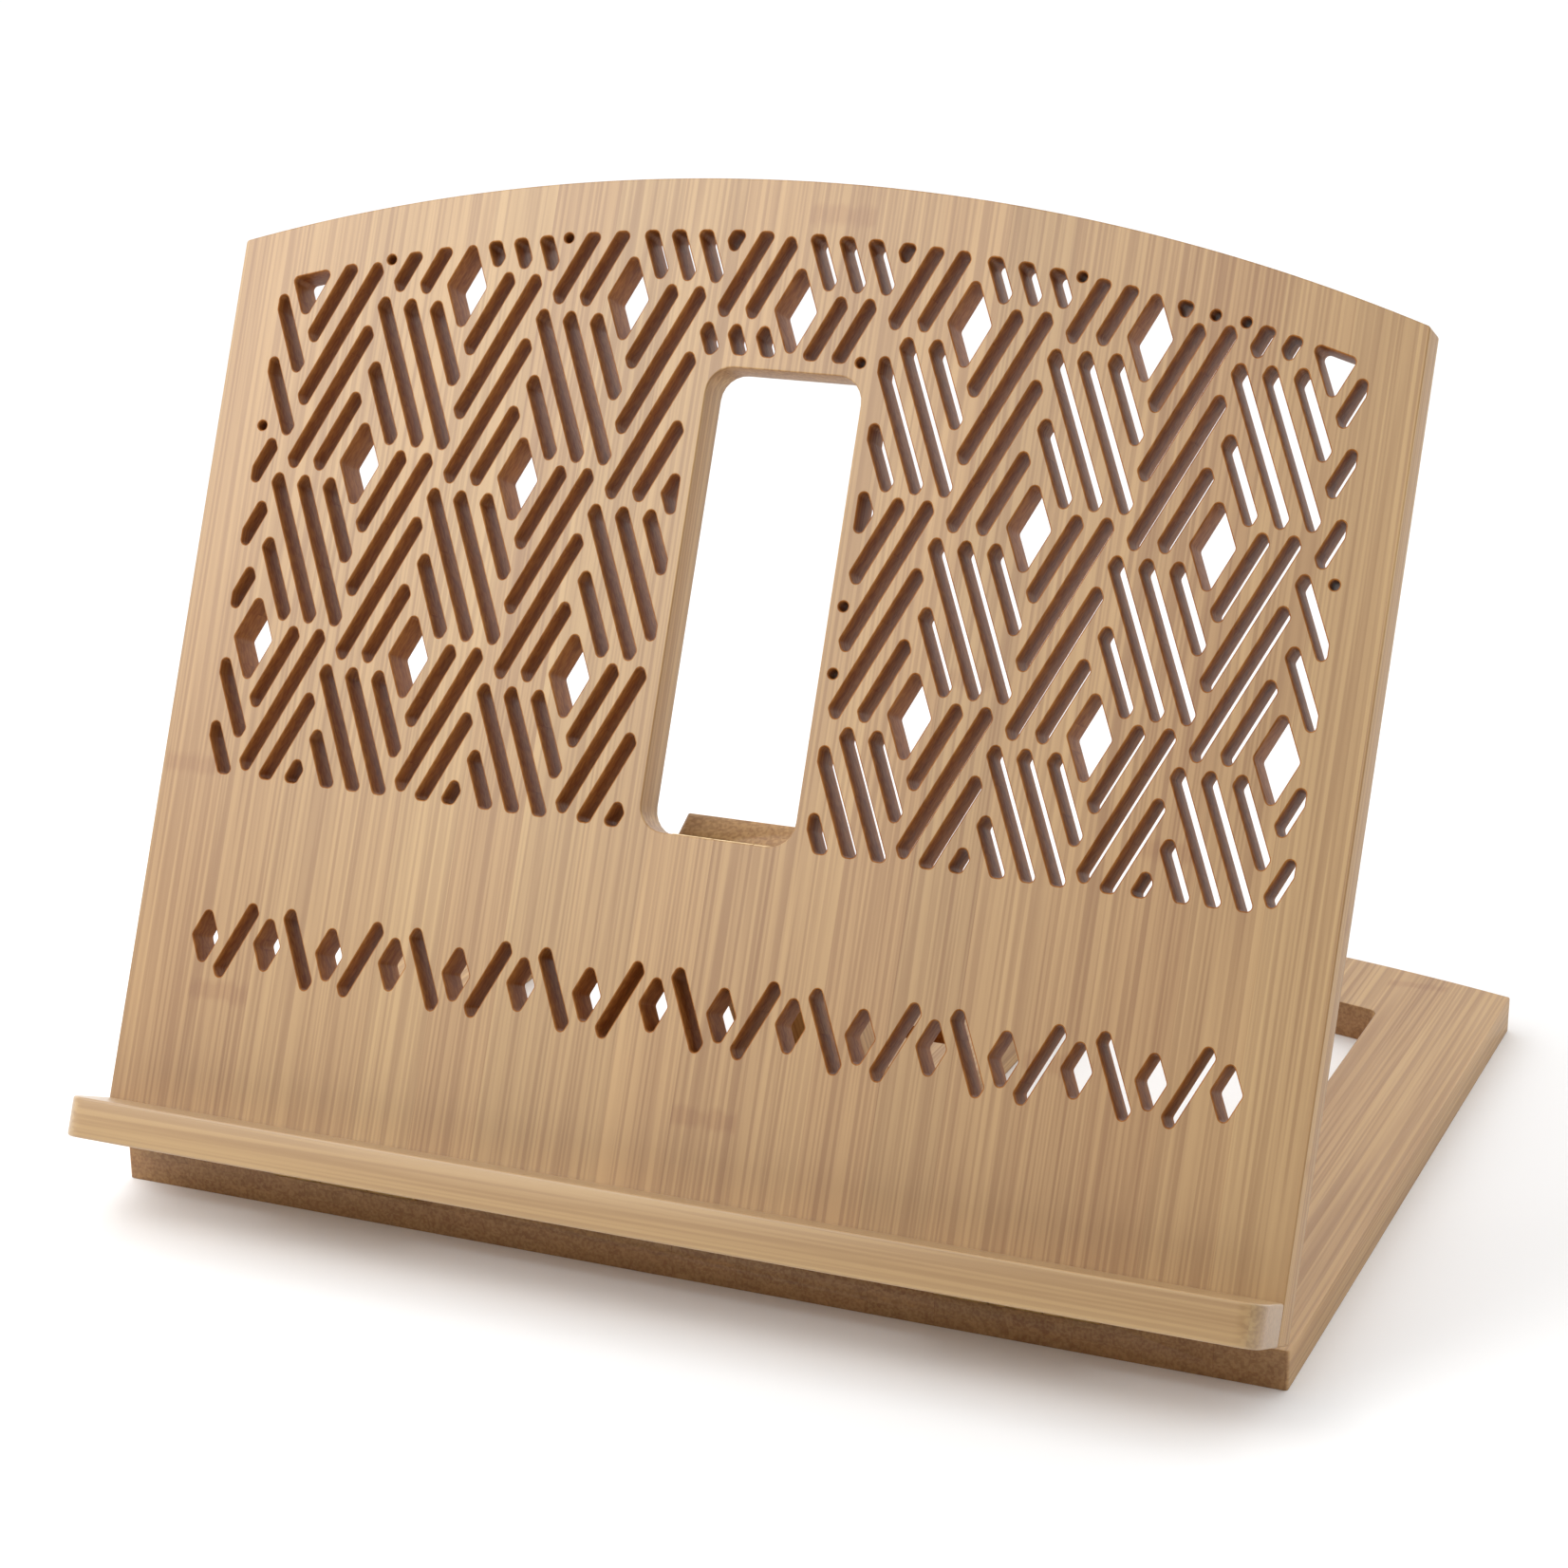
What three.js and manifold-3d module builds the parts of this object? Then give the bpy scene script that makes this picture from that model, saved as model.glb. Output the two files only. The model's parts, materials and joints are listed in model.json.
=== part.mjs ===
// Folding tabletop book stand in bamboo panel.
//
// Two panels share one outline: a base frame that lies flat and a pierced back board that
// leans on a prop leg. The board is hinged to the front of the base, the leg to the lower
// edge of the board's central opening. Folded flat, the board lies on the base and the leg
// lies inside the opening. Every piece is drawn in that folded position, with x across,
// y from front to back and z up from the table, and two pivot groups then open the stand.

import * as THREE from 'three';
import { mergeVertices } from 'three/addons/utils/BufferGeometryUtils.js';
import Module from 'manifold-3d';

const wasm = await Module();
wasm.setup();

// ---------------------------------------------------------------- driving dimensions, mm

// Panels
const WIDTH = 380;
const SIDE_LENGTH = 286;
const ARC_RISE = 30;
const THICK = 12.5;
const PANEL_GAP = 1.5;
const TOUCH = 0.3;
const ARC_STEPS = 24;
const THROUGH = 2 * THICK;

// Opened position
const BOARD_ELEVATION = 66;
const LEG_SLOPE = 60.5;

// Base frame
const SIDE_BAR = 40;
const END_BAR = 40;
const CENTRE_BAR = 80;
const CUTOUT_CORNER = 4;
const CUTOUT_CORNER_STEPS = 3;
const CUTOUT_ARC_STEPS = 8;
const GROOVE_LENGTH = 48;
const GROOVE_WIDTH = 11;
const GROOVE_DEPTH = 5;
const GROOVE_STARTS = [111.5, 172.5];

// Opening in the back board, and the leg that nests in it
const OPENING_HALF_WIDTH = 25;
const OPENING_BOTTOM = 118;
const OPENING_TOP = 258.5;
const OPENING_CORNER = 8;
const OPENING_CORNER_STEPS = 4;
const LEG_WIDTH = 44;
const LEG_SETBACK = 4.4;
const LEG_LENGTH = 120.5;

// Ledge
const LEDGE_HEIGHT = 12.5;
const LEDGE_DEPTH = 25;
const LEDGE_CORNER = 7;
const LEDGE_CORNER_STEPS = 6;

// Hinges
const LEAF_THICK = 1.2;
const LEAF_PROUD = 0.3;
const LEAF_WIDTH = 20;
const LEAF_SETBACK = 2.6;
const KNUCKLE_RADIUS = 2.2;
const KNUCKLE_SIDES = 16;
const PIN_RADIUS = 1.1;
const PIN_SIDES = 12;
const BASE_HINGE_X = 110;
const BASE_HINGE_LENGTH = 50;
const BASE_HINGE_FORWARD = 1.2;
const LEG_HINGE_LENGTH = 40;
const LEG_HINGE_DROP = 3;
const LEG_HINGE_INSET = 1.2;

// Screws
const SCREW_HEAD_RADIUS = 2.8;
const SCREW_CORE_RADIUS = 1.3;
const SCREW_HEAD_DEPTH = 1.5;
const SCREW_SIDES = 8;
const LEAF_SCREW_LENGTH = 9.5;
const LEAF_SCREW_SPREAD = 0.3;
const LEDGE_SCREW_LENGTH = 25;
const LEDGE_SCREW_X = [-165, -45, 45, 165];

// Pierced lattice: rows of small diamonds with slots hanging below each of them
const SLOPE = 20 / 9.17;
const SLOT_WIDTH = 4.2;
const TOOL_RADIUS = 1.5;
const TOOL_PLAY = 1.2;
const DOT_SIDES = 8;
const DIAMOND_HALF_WIDTH = 6.7;
const DIAMOND_PITCH = 55;
const ROW_PITCH = 57.9;
const LOWEST_ROW = 161;
const ROW_COUNT = 4;
const COLUMN_REACH = 4;
const FIRST_SLOT_DROP = 28;
const SLOT_DROP_STEP = 20;
const FALLING_SLOTS = [[-30.6, -5.9], [-50.6, -5.9], [-50.6, -5.9], [-50.6, -26.4]];
const RISING_SLOTS = [[-20.6, 4.6], [-40.6, 4.6], [-60.6, -15.4], [-60.6, -36.4]];
const LATTICE_MARGIN_SIDE = 15.3;
const LATTICE_MARGIN_TOP = 16;
const LATTICE_BOTTOM = 118;
const OPENING_MARGIN = 4;
const OPENING_CHAMFER = 4.5;

// Border band of small diamonds and leaning slots below the lattice
const BAND_CENTRE = 67;
const BAND_HALF_HEIGHT = 11.5;
const BAND_PITCH = 22;
const BAND_DIAMONDS = 16;
const BAND_DIAMOND_HALF_WIDTH = 4.6;

const CORNER_STEP = THREE.MathUtils.degToRad(95);

// ---------------------------------------------------------------- derived dimensions

const HALF = WIDTH / 2;
const ARC_RADIUS = (HALF ** 2 + ARC_RISE ** 2) / (2 * ARC_RISE);
const ARC_CENTRE = SIDE_LENGTH + ARC_RISE - ARC_RADIUS;
const BOARD_BACK = THICK + PANEL_GAP;
const BOARD_FRONT = BOARD_BACK + THICK;
const LEDGE_BACK = BOARD_FRONT + TOUCH;
const LEDGE_FRONT = BOARD_FRONT + LEDGE_DEPTH;

const BOARD_AXIS = new THREE.Vector3(0, -BASE_HINGE_FORWARD, THICK + PANEL_GAP / 2);
const LEG_AXIS = new THREE.Vector3(
  0,
  OPENING_BOTTOM - LEG_HINGE_INSET,
  BOARD_BACK - LEG_HINGE_DROP,
);

const BOARD_TURN = THREE.MathUtils.degToRad(BOARD_ELEVATION);
const LEG_TURN = -THREE.MathUtils.degToRad(BOARD_ELEVATION + LEG_SLOPE);

// Front corner of the opened ledge, which is the stand's foremost point
const LEDGE_CORNER_RISE = LEDGE_FRONT - BOARD_AXIS.z;
const FOREMOST = BOARD_AXIS.y * (1 - Math.cos(BOARD_TURN))
  - LEDGE_CORNER_RISE * Math.sin(BOARD_TURN);
const REARMOST = SIDE_LENGTH + ARC_RISE;
const CENTRE_Y = (FOREMOST + REARMOST) / 2;

// ---------------------------------------------------------------- solids and booleans

function toSolid(geometry) {
  const bare = geometry.index ? geometry.toNonIndexed() : geometry.clone();
  bare.deleteAttribute('normal');
  bare.deleteAttribute('uv');
  const merged = mergeVertices(bare, 1e-4);
  return new wasm.Manifold(new wasm.Mesh({
    numProp: 3,
    vertProperties: new Float32Array(merged.attributes.position.array),
    triVerts: new Uint32Array(merged.index.array),
  }));
}

function toGeometry(solid) {
  const mesh = solid.getMesh();
  const geometry = new THREE.BufferGeometry();
  geometry.setAttribute('position', new THREE.BufferAttribute(mesh.vertProperties, 3));
  geometry.setIndex(new THREE.BufferAttribute(mesh.triVerts, 1));
  geometry.computeVertexNormals();
  return geometry;
}

function box(x0, x1, y0, y1, z0, z1) {
  const geometry = new THREE.BoxGeometry(x1 - x0, y1 - y0, z1 - z0);
  geometry.translate((x0 + x1) / 2, (y0 + y1) / 2, (z0 + z1) / 2);
  return toSolid(geometry);
}

function rodAlongX(x0, x1, radius, sides) {
  const geometry = new THREE.CylinderGeometry(radius, radius, x1 - x0, sides);
  geometry.rotateZ(Math.PI / 2);
  geometry.translate((x0 + x1) / 2, 0, 0);
  return toSolid(geometry);
}

function panel(outline, holes, z0, z1) {
  const shape = new THREE.Shape(outline);
  shape.holes = holes.map((hole) => new THREE.Path(hole));
  const geometry = new THREE.ExtrudeGeometry(shape, { depth: z1 - z0, bevelEnabled: false });
  geometry.translate(0, 0, z0);
  return toSolid(geometry);
}

function cutAll(solid, cutters) {
  return cutters.reduce((rest, cutter) => rest.subtract(cutter), solid);
}

// ---------------------------------------------------------------- plane outlines

function arcPoints(cx, cy, radius, start, end, steps) {
  return Array.from({ length: steps + 1 }, (_, i) => {
    const angle = start + ((end - start) * i) / steps;
    return new THREE.Vector2(cx + radius * Math.cos(angle), cy + radius * Math.sin(angle));
  });
}

function panelOutline() {
  const sideAngle = Math.asin(HALF / ARC_RADIUS);
  const up = Math.PI / 2;
  const arc = arcPoints(0, ARC_CENTRE, ARC_RADIUS, up - sideAngle, up + sideAngle, ARC_STEPS);
  return [new THREE.Vector2(-HALF, 0), new THREE.Vector2(HALF, 0), ...arc];
}

function roundedRectangle(x0, x1, y0, y1, radius, steps) {
  const quarter = Math.PI / 2;
  return [
    ...arcPoints(x1 - radius, y0 + radius, radius, -quarter, 0, steps),
    ...arcPoints(x1 - radius, y1 - radius, radius, 0, quarter, steps),
    ...arcPoints(x0 + radius, y1 - radius, radius, quarter, 2 * quarter, steps),
    ...arcPoints(x0 + radius, y0 + radius, radius, 2 * quarter, 3 * quarter, steps),
  ];
}

// The part of a convex polygon where nx * x + ny * y is at most limit
function clip(points, nx, ny, limit) {
  const kept = [];
  points.forEach((point, i) => {
    const next = points[(i + 1) % points.length];
    const here = nx * point.x + ny * point.y - limit;
    const there = nx * next.x + ny * next.y - limit;
    if (here <= 0) kept.push(point);
    if (here < 0 !== there < 0) kept.push(point.clone().lerp(next, here / (here - there)));
  });
  return kept;
}

function outwardNormal(from, to) {
  return new THREE.Vector2(to.y - from.y, from.x - to.x).normalize();
}

function inset(points, distance) {
  return points.reduce((rest, point, i) => {
    const normal = outwardNormal(point, points[(i + 1) % points.length]);
    return clip(rest, normal.x, normal.y, normal.dot(point) - distance);
  }, points);
}

function withoutShortEdges(points, shortest) {
  return points.filter((point, i) => point.distanceTo(points[(i + 1) % points.length]) > shortest);
}

// What a round cutter leaves of a convex polygon: null where it has no room at all, and a
// dot of its own size where the polygon is up to TOOL_PLAY too narrow for it
function routedHole(points) {
  const core = withoutShortEdges(inset(points, TOOL_RADIUS), 0.02);
  if (core.length < 3) return drilledDot(inset(points, TOOL_RADIUS - TOOL_PLAY));
  return core.flatMap((point, i) => {
    const before = core[(i + core.length - 1) % core.length];
    const after = core[(i + 1) % core.length];
    const start = outwardNormal(before, point).angle();
    const turn = (outwardNormal(point, after).angle() - start + 2 * Math.PI) % (2 * Math.PI);
    const steps = Math.max(1, Math.ceil(turn / CORNER_STEP));
    return arcPoints(point.x, point.y, TOOL_RADIUS, start, start + turn, steps);
  });
}

function drilledDot(points) {
  if (points.length < 3) return null;
  const sum = points.reduce((total, point) => total.add(point), new THREE.Vector2());
  const middle = sum.divideScalar(points.length);
  return arcPoints(middle.x, middle.y, TOOL_RADIUS, 0, 2 * Math.PI, DOT_SIDES).slice(1);
}

function diamond(cx, cy, halfWidth) {
  const halfHeight = halfWidth * SLOPE;
  return [
    new THREE.Vector2(cx, cy - halfHeight),
    new THREE.Vector2(cx + halfWidth, cy),
    new THREE.Vector2(cx, cy + halfHeight),
    new THREE.Vector2(cx - halfWidth, cy),
  ];
}

// A slot whose middle line passes through (cx, cy), leaning right for side 1 and left for
// -1, with its ends cut along the slots that lean the other way
function slot(cx, cy, side, bottom, top) {
  const span = (SLOT_WIDTH * Math.hypot(1, SLOPE)) / (4 * SLOPE);
  const end = new THREE.Vector2(side, -SLOPE).multiplyScalar(span);
  const low = new THREE.Vector2(cx + (side * (bottom - cy)) / SLOPE, bottom);
  const high = new THREE.Vector2(cx + (side * (top - cy)) / SLOPE, top);
  const corners = [
    low.clone().add(end),
    high.clone().add(end),
    high.clone().sub(end),
    low.clone().sub(end),
  ];
  return side > 0 ? corners : corners.reverse();
}

function area(points) {
  return points.length < 3 ? 0 : THREE.ShapeUtils.area(points);
}

// Keeps a lattice hole inside the panel's margins
function clipToMargins(points) {
  const middle = points.reduce((sum, point) => sum + point.x, 0) / points.length;
  const limit = HALF - LATTICE_MARGIN_SIDE;
  const nx = middle / ARC_RADIUS;
  const ny = Math.sqrt(1 - nx ** 2);
  const rim = ny * ARC_CENTRE + ARC_RADIUS - LATTICE_MARGIN_TOP;
  let rest = clip(points, 1, 0, limit);
  rest = clip(rest, -1, 0, limit);
  rest = clip(rest, 0, -1, -LATTICE_BOTTOM);
  return clip(rest, nx, ny, rim);
}

// Keeps a lattice hole clear of the central opening: the largest part beside or above it
function clipAroundOpening(points) {
  const side = OPENING_HALF_WIDTH + OPENING_MARGIN;
  const top = OPENING_TOP + OPENING_MARGIN;
  const slant = (side + top - OPENING_CHAMFER) * Math.SQRT1_2;
  const parts = [
    clip(points, -1, 0, -side),
    clip(points, 1, 0, -side),
    clip(points, 0, -1, -top),
    clip(points, -Math.SQRT1_2, -Math.SQRT1_2, -slant),
    clip(points, Math.SQRT1_2, -Math.SQRT1_2, -slant),
  ];
  return parts.reduce((best, part) => (area(part) > area(best) ? part : best));
}

function latticeHoles() {
  const polygons = [];
  for (let row = 0; row < ROW_COUNT; row += 1) {
    const cy = LOWEST_ROW + row * ROW_PITCH;
    for (let column = -COLUMN_REACH; column <= COLUMN_REACH; column += 1) {
      const cx = (column + (row % 2) / 2) * DIAMOND_PITCH;
      polygons.push(diamond(cx, cy, DIAMOND_HALF_WIDTH));
      FALLING_SLOTS.forEach(([bottom, top], i) => {
        const drop = FIRST_SLOT_DROP + i * SLOT_DROP_STEP;
        polygons.push(slot(cx, cy - drop, -1, cy + bottom, cy + top));
      });
      RISING_SLOTS.forEach(([bottom, top], i) => {
        const drop = FIRST_SLOT_DROP + i * SLOT_DROP_STEP;
        polygons.push(slot(cx, cy - drop, 1, cy + bottom, cy + top));
      });
    }
  }
  return polygons
    .map(clipToMargins)
    .map(clipAroundOpening)
    .filter((points) => points.length > 2)
    .map(routedHole)
    .filter((hole) => hole);
}

function bandHoles() {
  const bottom = BAND_CENTRE - BAND_HALF_HEIGHT;
  const top = BAND_CENTRE + BAND_HALF_HEIGHT;
  const polygons = [];
  for (let i = 0; i < BAND_DIAMONDS; i += 1) {
    const cx = (i - (BAND_DIAMONDS - 1) / 2) * BAND_PITCH;
    polygons.push(diamond(cx, BAND_CENTRE, BAND_DIAMOND_HALF_WIDTH));
    if (i < BAND_DIAMONDS - 1) {
      const side = i % 2 ? -1 : 1;
      polygons.push(slot(cx + BAND_PITCH / 2, BAND_CENTRE, side, bottom, top));
    }
  }
  return polygons.map(routedHole);
}

// ---------------------------------------------------------------- screws

// A countersunk wood screw pointing down, with its head's face at z = 0. The same shape,
// grown by a clearance, cuts its hole.
function screwSolid(length, clearance) {
  const head = SCREW_HEAD_RADIUS + clearance;
  const core = SCREW_CORE_RADIUS + clearance;
  const topFace = clearance > 0 ? 1 : 0;
  const profile = [
    new THREE.Vector2(0, -length - clearance),
    new THREE.Vector2(core / 2, -length + core - clearance),
    new THREE.Vector2(core, -length + 2 * core),
    new THREE.Vector2(core, -SCREW_HEAD_DEPTH - clearance),
    new THREE.Vector2(head, 0),
    new THREE.Vector2(head, topFace),
    new THREE.Vector2(0, topFace),
  ].filter((point, i, all) => i === 0 || point.distanceTo(all[i - 1]) > 1e-6);
  const geometry = new THREE.LatheGeometry(profile, SCREW_SIDES);
  geometry.rotateX(Math.PI / 2);
  return toSolid(geometry);
}

// A place for a screw: the head's face at (x, y, z), driven down, or up when up is true
function placeScrew(solid, place) {
  const turned = place.up ? solid.rotate([180, 0, 0]) : solid;
  return turned.translate([place.x, place.y, place.z]);
}

function screw(place) {
  return placeScrew(screwSolid(place.length, 0), place);
}

function screwHole(place) {
  return placeScrew(screwSolid(place.length, TOUCH), place);
}

function leafScrewPlaces(hinge, side, up) {
  const y = hinge.axis.y + side * (LEAF_SETBACK + LEAF_WIDTH / 2);
  const z = hinge.plateZ(up);
  return [-1, 1].map((end) => ({
    x: hinge.x + end * LEAF_SCREW_SPREAD * hinge.length,
    y,
    z: up ? z - LEAF_THICK : z + LEAF_THICK,
    up,
    length: LEAF_SCREW_LENGTH,
  }));
}

const ledgeScrewPlaces = LEDGE_SCREW_X.map((x) => ({
  x,
  y: LEDGE_HEIGHT / 2,
  z: BOARD_BACK,
  up: true,
  length: LEDGE_SCREW_LENGTH,
}));

// ---------------------------------------------------------------- hinges

// A butt hinge with its pin along x. Its leaves lie in panels: plateZ gives the buried face
// of the plate in a panel below the leaf (up false) or above it (up true).
function makeHinge(x, axis, length, lowerPanelTop, upperPanelBottom) {
  const sunk = LEAF_THICK - LEAF_PROUD;
  return {
    x,
    axis,
    length,
    plateZ: (up) => (up ? upperPanelBottom + sunk : lowerPanelTop - sunk),
  };
}

const baseHinges = {
  left: makeHinge(-BASE_HINGE_X, BOARD_AXIS, BASE_HINGE_LENGTH, THICK, BOARD_BACK),
  right: makeHinge(BASE_HINGE_X, BOARD_AXIS, BASE_HINGE_LENGTH, THICK, BOARD_BACK),
};
const legHinge = makeHinge(0, LEG_AXIS, LEG_HINGE_LENGTH, THICK, BOARD_BACK);

// The stretches of x that belong to a leaf's knuckles: two outer ones or the middle one
function knuckleSpans(hinge, outer) {
  const start = hinge.x - hinge.length / 2;
  const third = hinge.length / 3;
  const gap = TOUCH / 2;
  const spans = [0, 1, 2].map((i) => [
    start + i * third + (i > 0 ? gap : 0),
    start + (i + 1) * third - (i < 2 ? gap : 0),
  ]);
  return outer ? [spans[0], spans[2]] : [spans[1]];
}

// One leaf: a plate that runs away from the pin towards side, and knuckles round the pin
function hingeLeaf(hinge, { side, up, outer }) {
  const { x, axis, length } = hinge;
  const buried = hinge.plateZ(up);
  const exposed = up ? buried - LEAF_THICK : buried + LEAF_THICK;
  const zs = [buried, exposed].sort((a, b) => a - b);
  const reach = (near, far) => [axis.y + side * near, axis.y + side * far].sort((a, b) => a - b);
  const plateY = reach(LEAF_SETBACK, LEAF_SETBACK + LEAF_WIDTH);
  const neckY = reach(TOUCH, KNUCKLE_RADIUS - TOUCH);
  const footY = reach(TOUCH, LEAF_SETBACK + 1);
  const neckZ = [buried, axis.z].sort((a, b) => a - b);
  let leaf = box(x - length / 2, x + length / 2, ...plateY, ...zs);
  knuckleSpans(hinge, outer).forEach(([x0, x1]) => {
    leaf = leaf.add(rodAlongX(x0, x1, KNUCKLE_RADIUS, KNUCKLE_SIDES).translate([0, axis.y, axis.z]));
    leaf = leaf.add(box(x0, x1, ...neckY, ...neckZ));
    leaf = leaf.add(box(x0, x1, ...footY, ...zs));
  });
  const pinHole = rodAlongX(x - length, x + length, PIN_RADIUS + TOUCH, PIN_SIDES);
  leaf = leaf.subtract(pinHole.translate([0, axis.y, axis.z]));
  return cutAll(leaf, leafScrewPlaces(hinge, side, up).map(screwHole));
}

function hingePin(hinge) {
  const half = hinge.length / 2 + TOUCH;
  const pin = rodAlongX(hinge.x - half, hinge.x + half, PIN_RADIUS, PIN_SIDES);
  return pin.translate([0, hinge.axis.y, hinge.axis.z]);
}

// What a leaf takes out of its panel: a shallow bed, a hollow for the knuckles, screw holes
function leafPocket(hinge, { side, up }) {
  const { x, axis, length } = hinge;
  const half = length / 2 + 2 * TOUCH;
  const buried = hinge.plateZ(up);
  const bedZ = up ? [buried - THICK, buried + TOUCH] : [buried - TOUCH, buried + THICK];
  const far = LEAF_SETBACK + LEAF_WIDTH + TOUCH;
  const bedY = [axis.y - side * KNUCKLE_RADIUS, axis.y + side * far].sort((a, b) => a - b);
  const hollow = rodAlongX(x - half, x + half, KNUCKLE_RADIUS + 2 * TOUCH, KNUCKLE_SIDES);
  return [
    box(x - half, x + half, ...bedY, ...bedZ),
    hollow.translate([0, axis.y, axis.z]),
    ...leafScrewPlaces(hinge, side, up).map(screwHole),
  ];
}

const BASE_LEAF = { side: 1, up: false, outer: true };
const BOARD_LEAF = { side: 1, up: true, outer: false };
const OPENING_LEAF = { side: -1, up: true, outer: true };
const LEG_LEAF = { side: 1, up: true, outer: false };

// ---------------------------------------------------------------- panels, ledge and leg

function backBoard() {
  const opening = roundedRectangle(
    -OPENING_HALF_WIDTH,
    OPENING_HALF_WIDTH,
    OPENING_BOTTOM,
    OPENING_TOP,
    OPENING_CORNER,
    OPENING_CORNER_STEPS,
  );
  const holes = [opening, ...latticeHoles(), ...bandHoles()];
  return cutAll(panel(panelOutline(), holes, BOARD_BACK, BOARD_FRONT), [
    ...leafPocket(baseHinges.left, BOARD_LEAF),
    ...leafPocket(baseHinges.right, BOARD_LEAF),
    ...leafPocket(legHinge, OPENING_LEAF),
    ...ledgeScrewPlaces.map(screwHole),
  ]);
}

function baseCutout(side) {
  const near = CENTRE_BAR / 2;
  const far = HALF - SIDE_BAR;
  const innerRadius = ARC_RADIUS - END_BAR;
  const rear = Array.from({ length: CUTOUT_ARC_STEPS + 1 }, (_, i) => {
    const x = near + ((far - near) * i) / CUTOUT_ARC_STEPS;
    return new THREE.Vector2(side * x, ARC_CENTRE + Math.sqrt(innerRadius ** 2 - x ** 2));
  });
  const corners = [
    new THREE.Vector2(side * far, END_BAR),
    new THREE.Vector2(side * near, END_BAR),
    ...rear,
  ];
  const outline = side < 0 ? corners : corners.reverse();
  const squared = panel(outline, [], -THICK, THROUGH);
  const rounded = roundedRectangle(
    Math.min(side * near, side * far),
    Math.max(side * near, side * far),
    END_BAR,
    REARMOST,
    CUTOUT_CORNER,
    CUTOUT_CORNER_STEPS,
  );
  return squared.intersect(panel(rounded, [], -THICK, THROUGH));
}

function baseFrame() {
  const grooves = GROOVE_STARTS.map((start) => box(
    -GROOVE_LENGTH / 2,
    GROOVE_LENGTH / 2,
    start,
    start + GROOVE_WIDTH,
    THICK - GROOVE_DEPTH,
    THROUGH,
  ));
  return cutAll(panel(panelOutline(), [], 0, THICK), [
    baseCutout(-1),
    baseCutout(1),
    ...grooves,
    ...leafPocket(baseHinges.left, BASE_LEAF),
    ...leafPocket(baseHinges.right, BASE_LEAF),
  ]);
}

function ledge() {
  const x = HALF - LEDGE_CORNER;
  const z = LEDGE_FRONT - LEDGE_CORNER;
  const quarter = Math.PI / 2;
  const shape = [
    new THREE.Vector2(-HALF, LEDGE_BACK),
    new THREE.Vector2(HALF, LEDGE_BACK),
    ...arcPoints(x, z, LEDGE_CORNER, 0, quarter, LEDGE_CORNER_STEPS),
    ...arcPoints(-x, z, LEDGE_CORNER, quarter, 2 * quarter, LEDGE_CORNER_STEPS),
  ];
  const geometry = new THREE.ExtrudeGeometry(new THREE.Shape(shape), {
    depth: LEDGE_HEIGHT,
    bevelEnabled: false,
  });
  geometry.rotateX(Math.PI / 2);
  geometry.translate(0, LEDGE_HEIGHT, 0);
  return cutAll(toSolid(geometry), ledgeScrewPlaces.map(screwHole));
}

function propLeg() {
  const start = LEG_AXIS.y + LEG_SETBACK;
  const leg = box(-LEG_WIDTH / 2, LEG_WIDTH / 2, start, start + LEG_LENGTH, BOARD_BACK, BOARD_FRONT);
  return cutAll(leg, leafPocket(legHinge, LEG_LEAF));
}

// ---------------------------------------------------------------- assembly

const bamboo = new THREE.MeshStandardMaterial({ color: 0xcfa878, roughness: 0.6, metalness: 0 });
const brass = new THREE.MeshStandardMaterial({ color: 0xb8924a, roughness: 0.35, metalness: 1 });

const stand = new THREE.Group();
stand.position.y = -CENTRE_Y;

// A group that turns about an x axis through a point, and holds pieces drawn folded
function pivotAt(parent, point, angle) {
  const turning = new THREE.Group();
  turning.position.copy(point);
  turning.rotation.x = angle;
  const holder = new THREE.Group();
  holder.position.copy(point).negate();
  turning.add(holder);
  parent.add(turning);
  return holder;
}

const boardGroup = pivotAt(stand, BOARD_AXIS, BOARD_TURN);
const legGroup = pivotAt(boardGroup, LEG_AXIS, LEG_TURN);

function addPiece(group, name, solid, material) {
  const mesh = new THREE.Mesh(toGeometry(solid), material);
  mesh.name = name;
  group.add(mesh);
}

function addScrews(group, name, places) {
  places.forEach((place, i) => addPiece(group, `${name}_${i + 1}`, screw(place), brass));
}

addPiece(stand, 'base_frame', baseFrame(), bamboo);
addPiece(boardGroup, 'back_board', backBoard(), bamboo);
addPiece(boardGroup, 'ledge', ledge(), bamboo);
addPiece(legGroup, 'prop_leg', propLeg(), bamboo);
addScrews(boardGroup, 'ledge_screw', ledgeScrewPlaces);

Object.entries(baseHinges).forEach(([name, hinge]) => {
  const prefix = `${name}_hinge`;
  addPiece(stand, `${prefix}_base_leaf`, hingeLeaf(hinge, BASE_LEAF), brass);
  addPiece(stand, `${prefix}_pin`, hingePin(hinge), brass);
  addPiece(boardGroup, `${prefix}_board_leaf`, hingeLeaf(hinge, BOARD_LEAF), brass);
  addScrews(stand, `${prefix}_base_screw`, leafScrewPlaces(hinge, 1, false));
  addScrews(boardGroup, `${prefix}_board_screw`, leafScrewPlaces(hinge, 1, true));
});

addPiece(boardGroup, 'leg_hinge_board_leaf', hingeLeaf(legHinge, OPENING_LEAF), brass);
addPiece(boardGroup, 'leg_hinge_pin', hingePin(legHinge), brass);
addPiece(legGroup, 'leg_hinge_leg_leaf', hingeLeaf(legHinge, LEG_LEAF), brass);
addScrews(boardGroup, 'leg_hinge_board_screw', leafScrewPlaces(legHinge, -1, true));
addScrews(legGroup, 'leg_hinge_leg_screw', leafScrewPlaces(legHinge, 1, true));

export default stand;
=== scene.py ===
import json
import math

import bpy
from mathutils import Matrix, Vector
from mathutils.geometry import delaunay_2d_cdt

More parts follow.
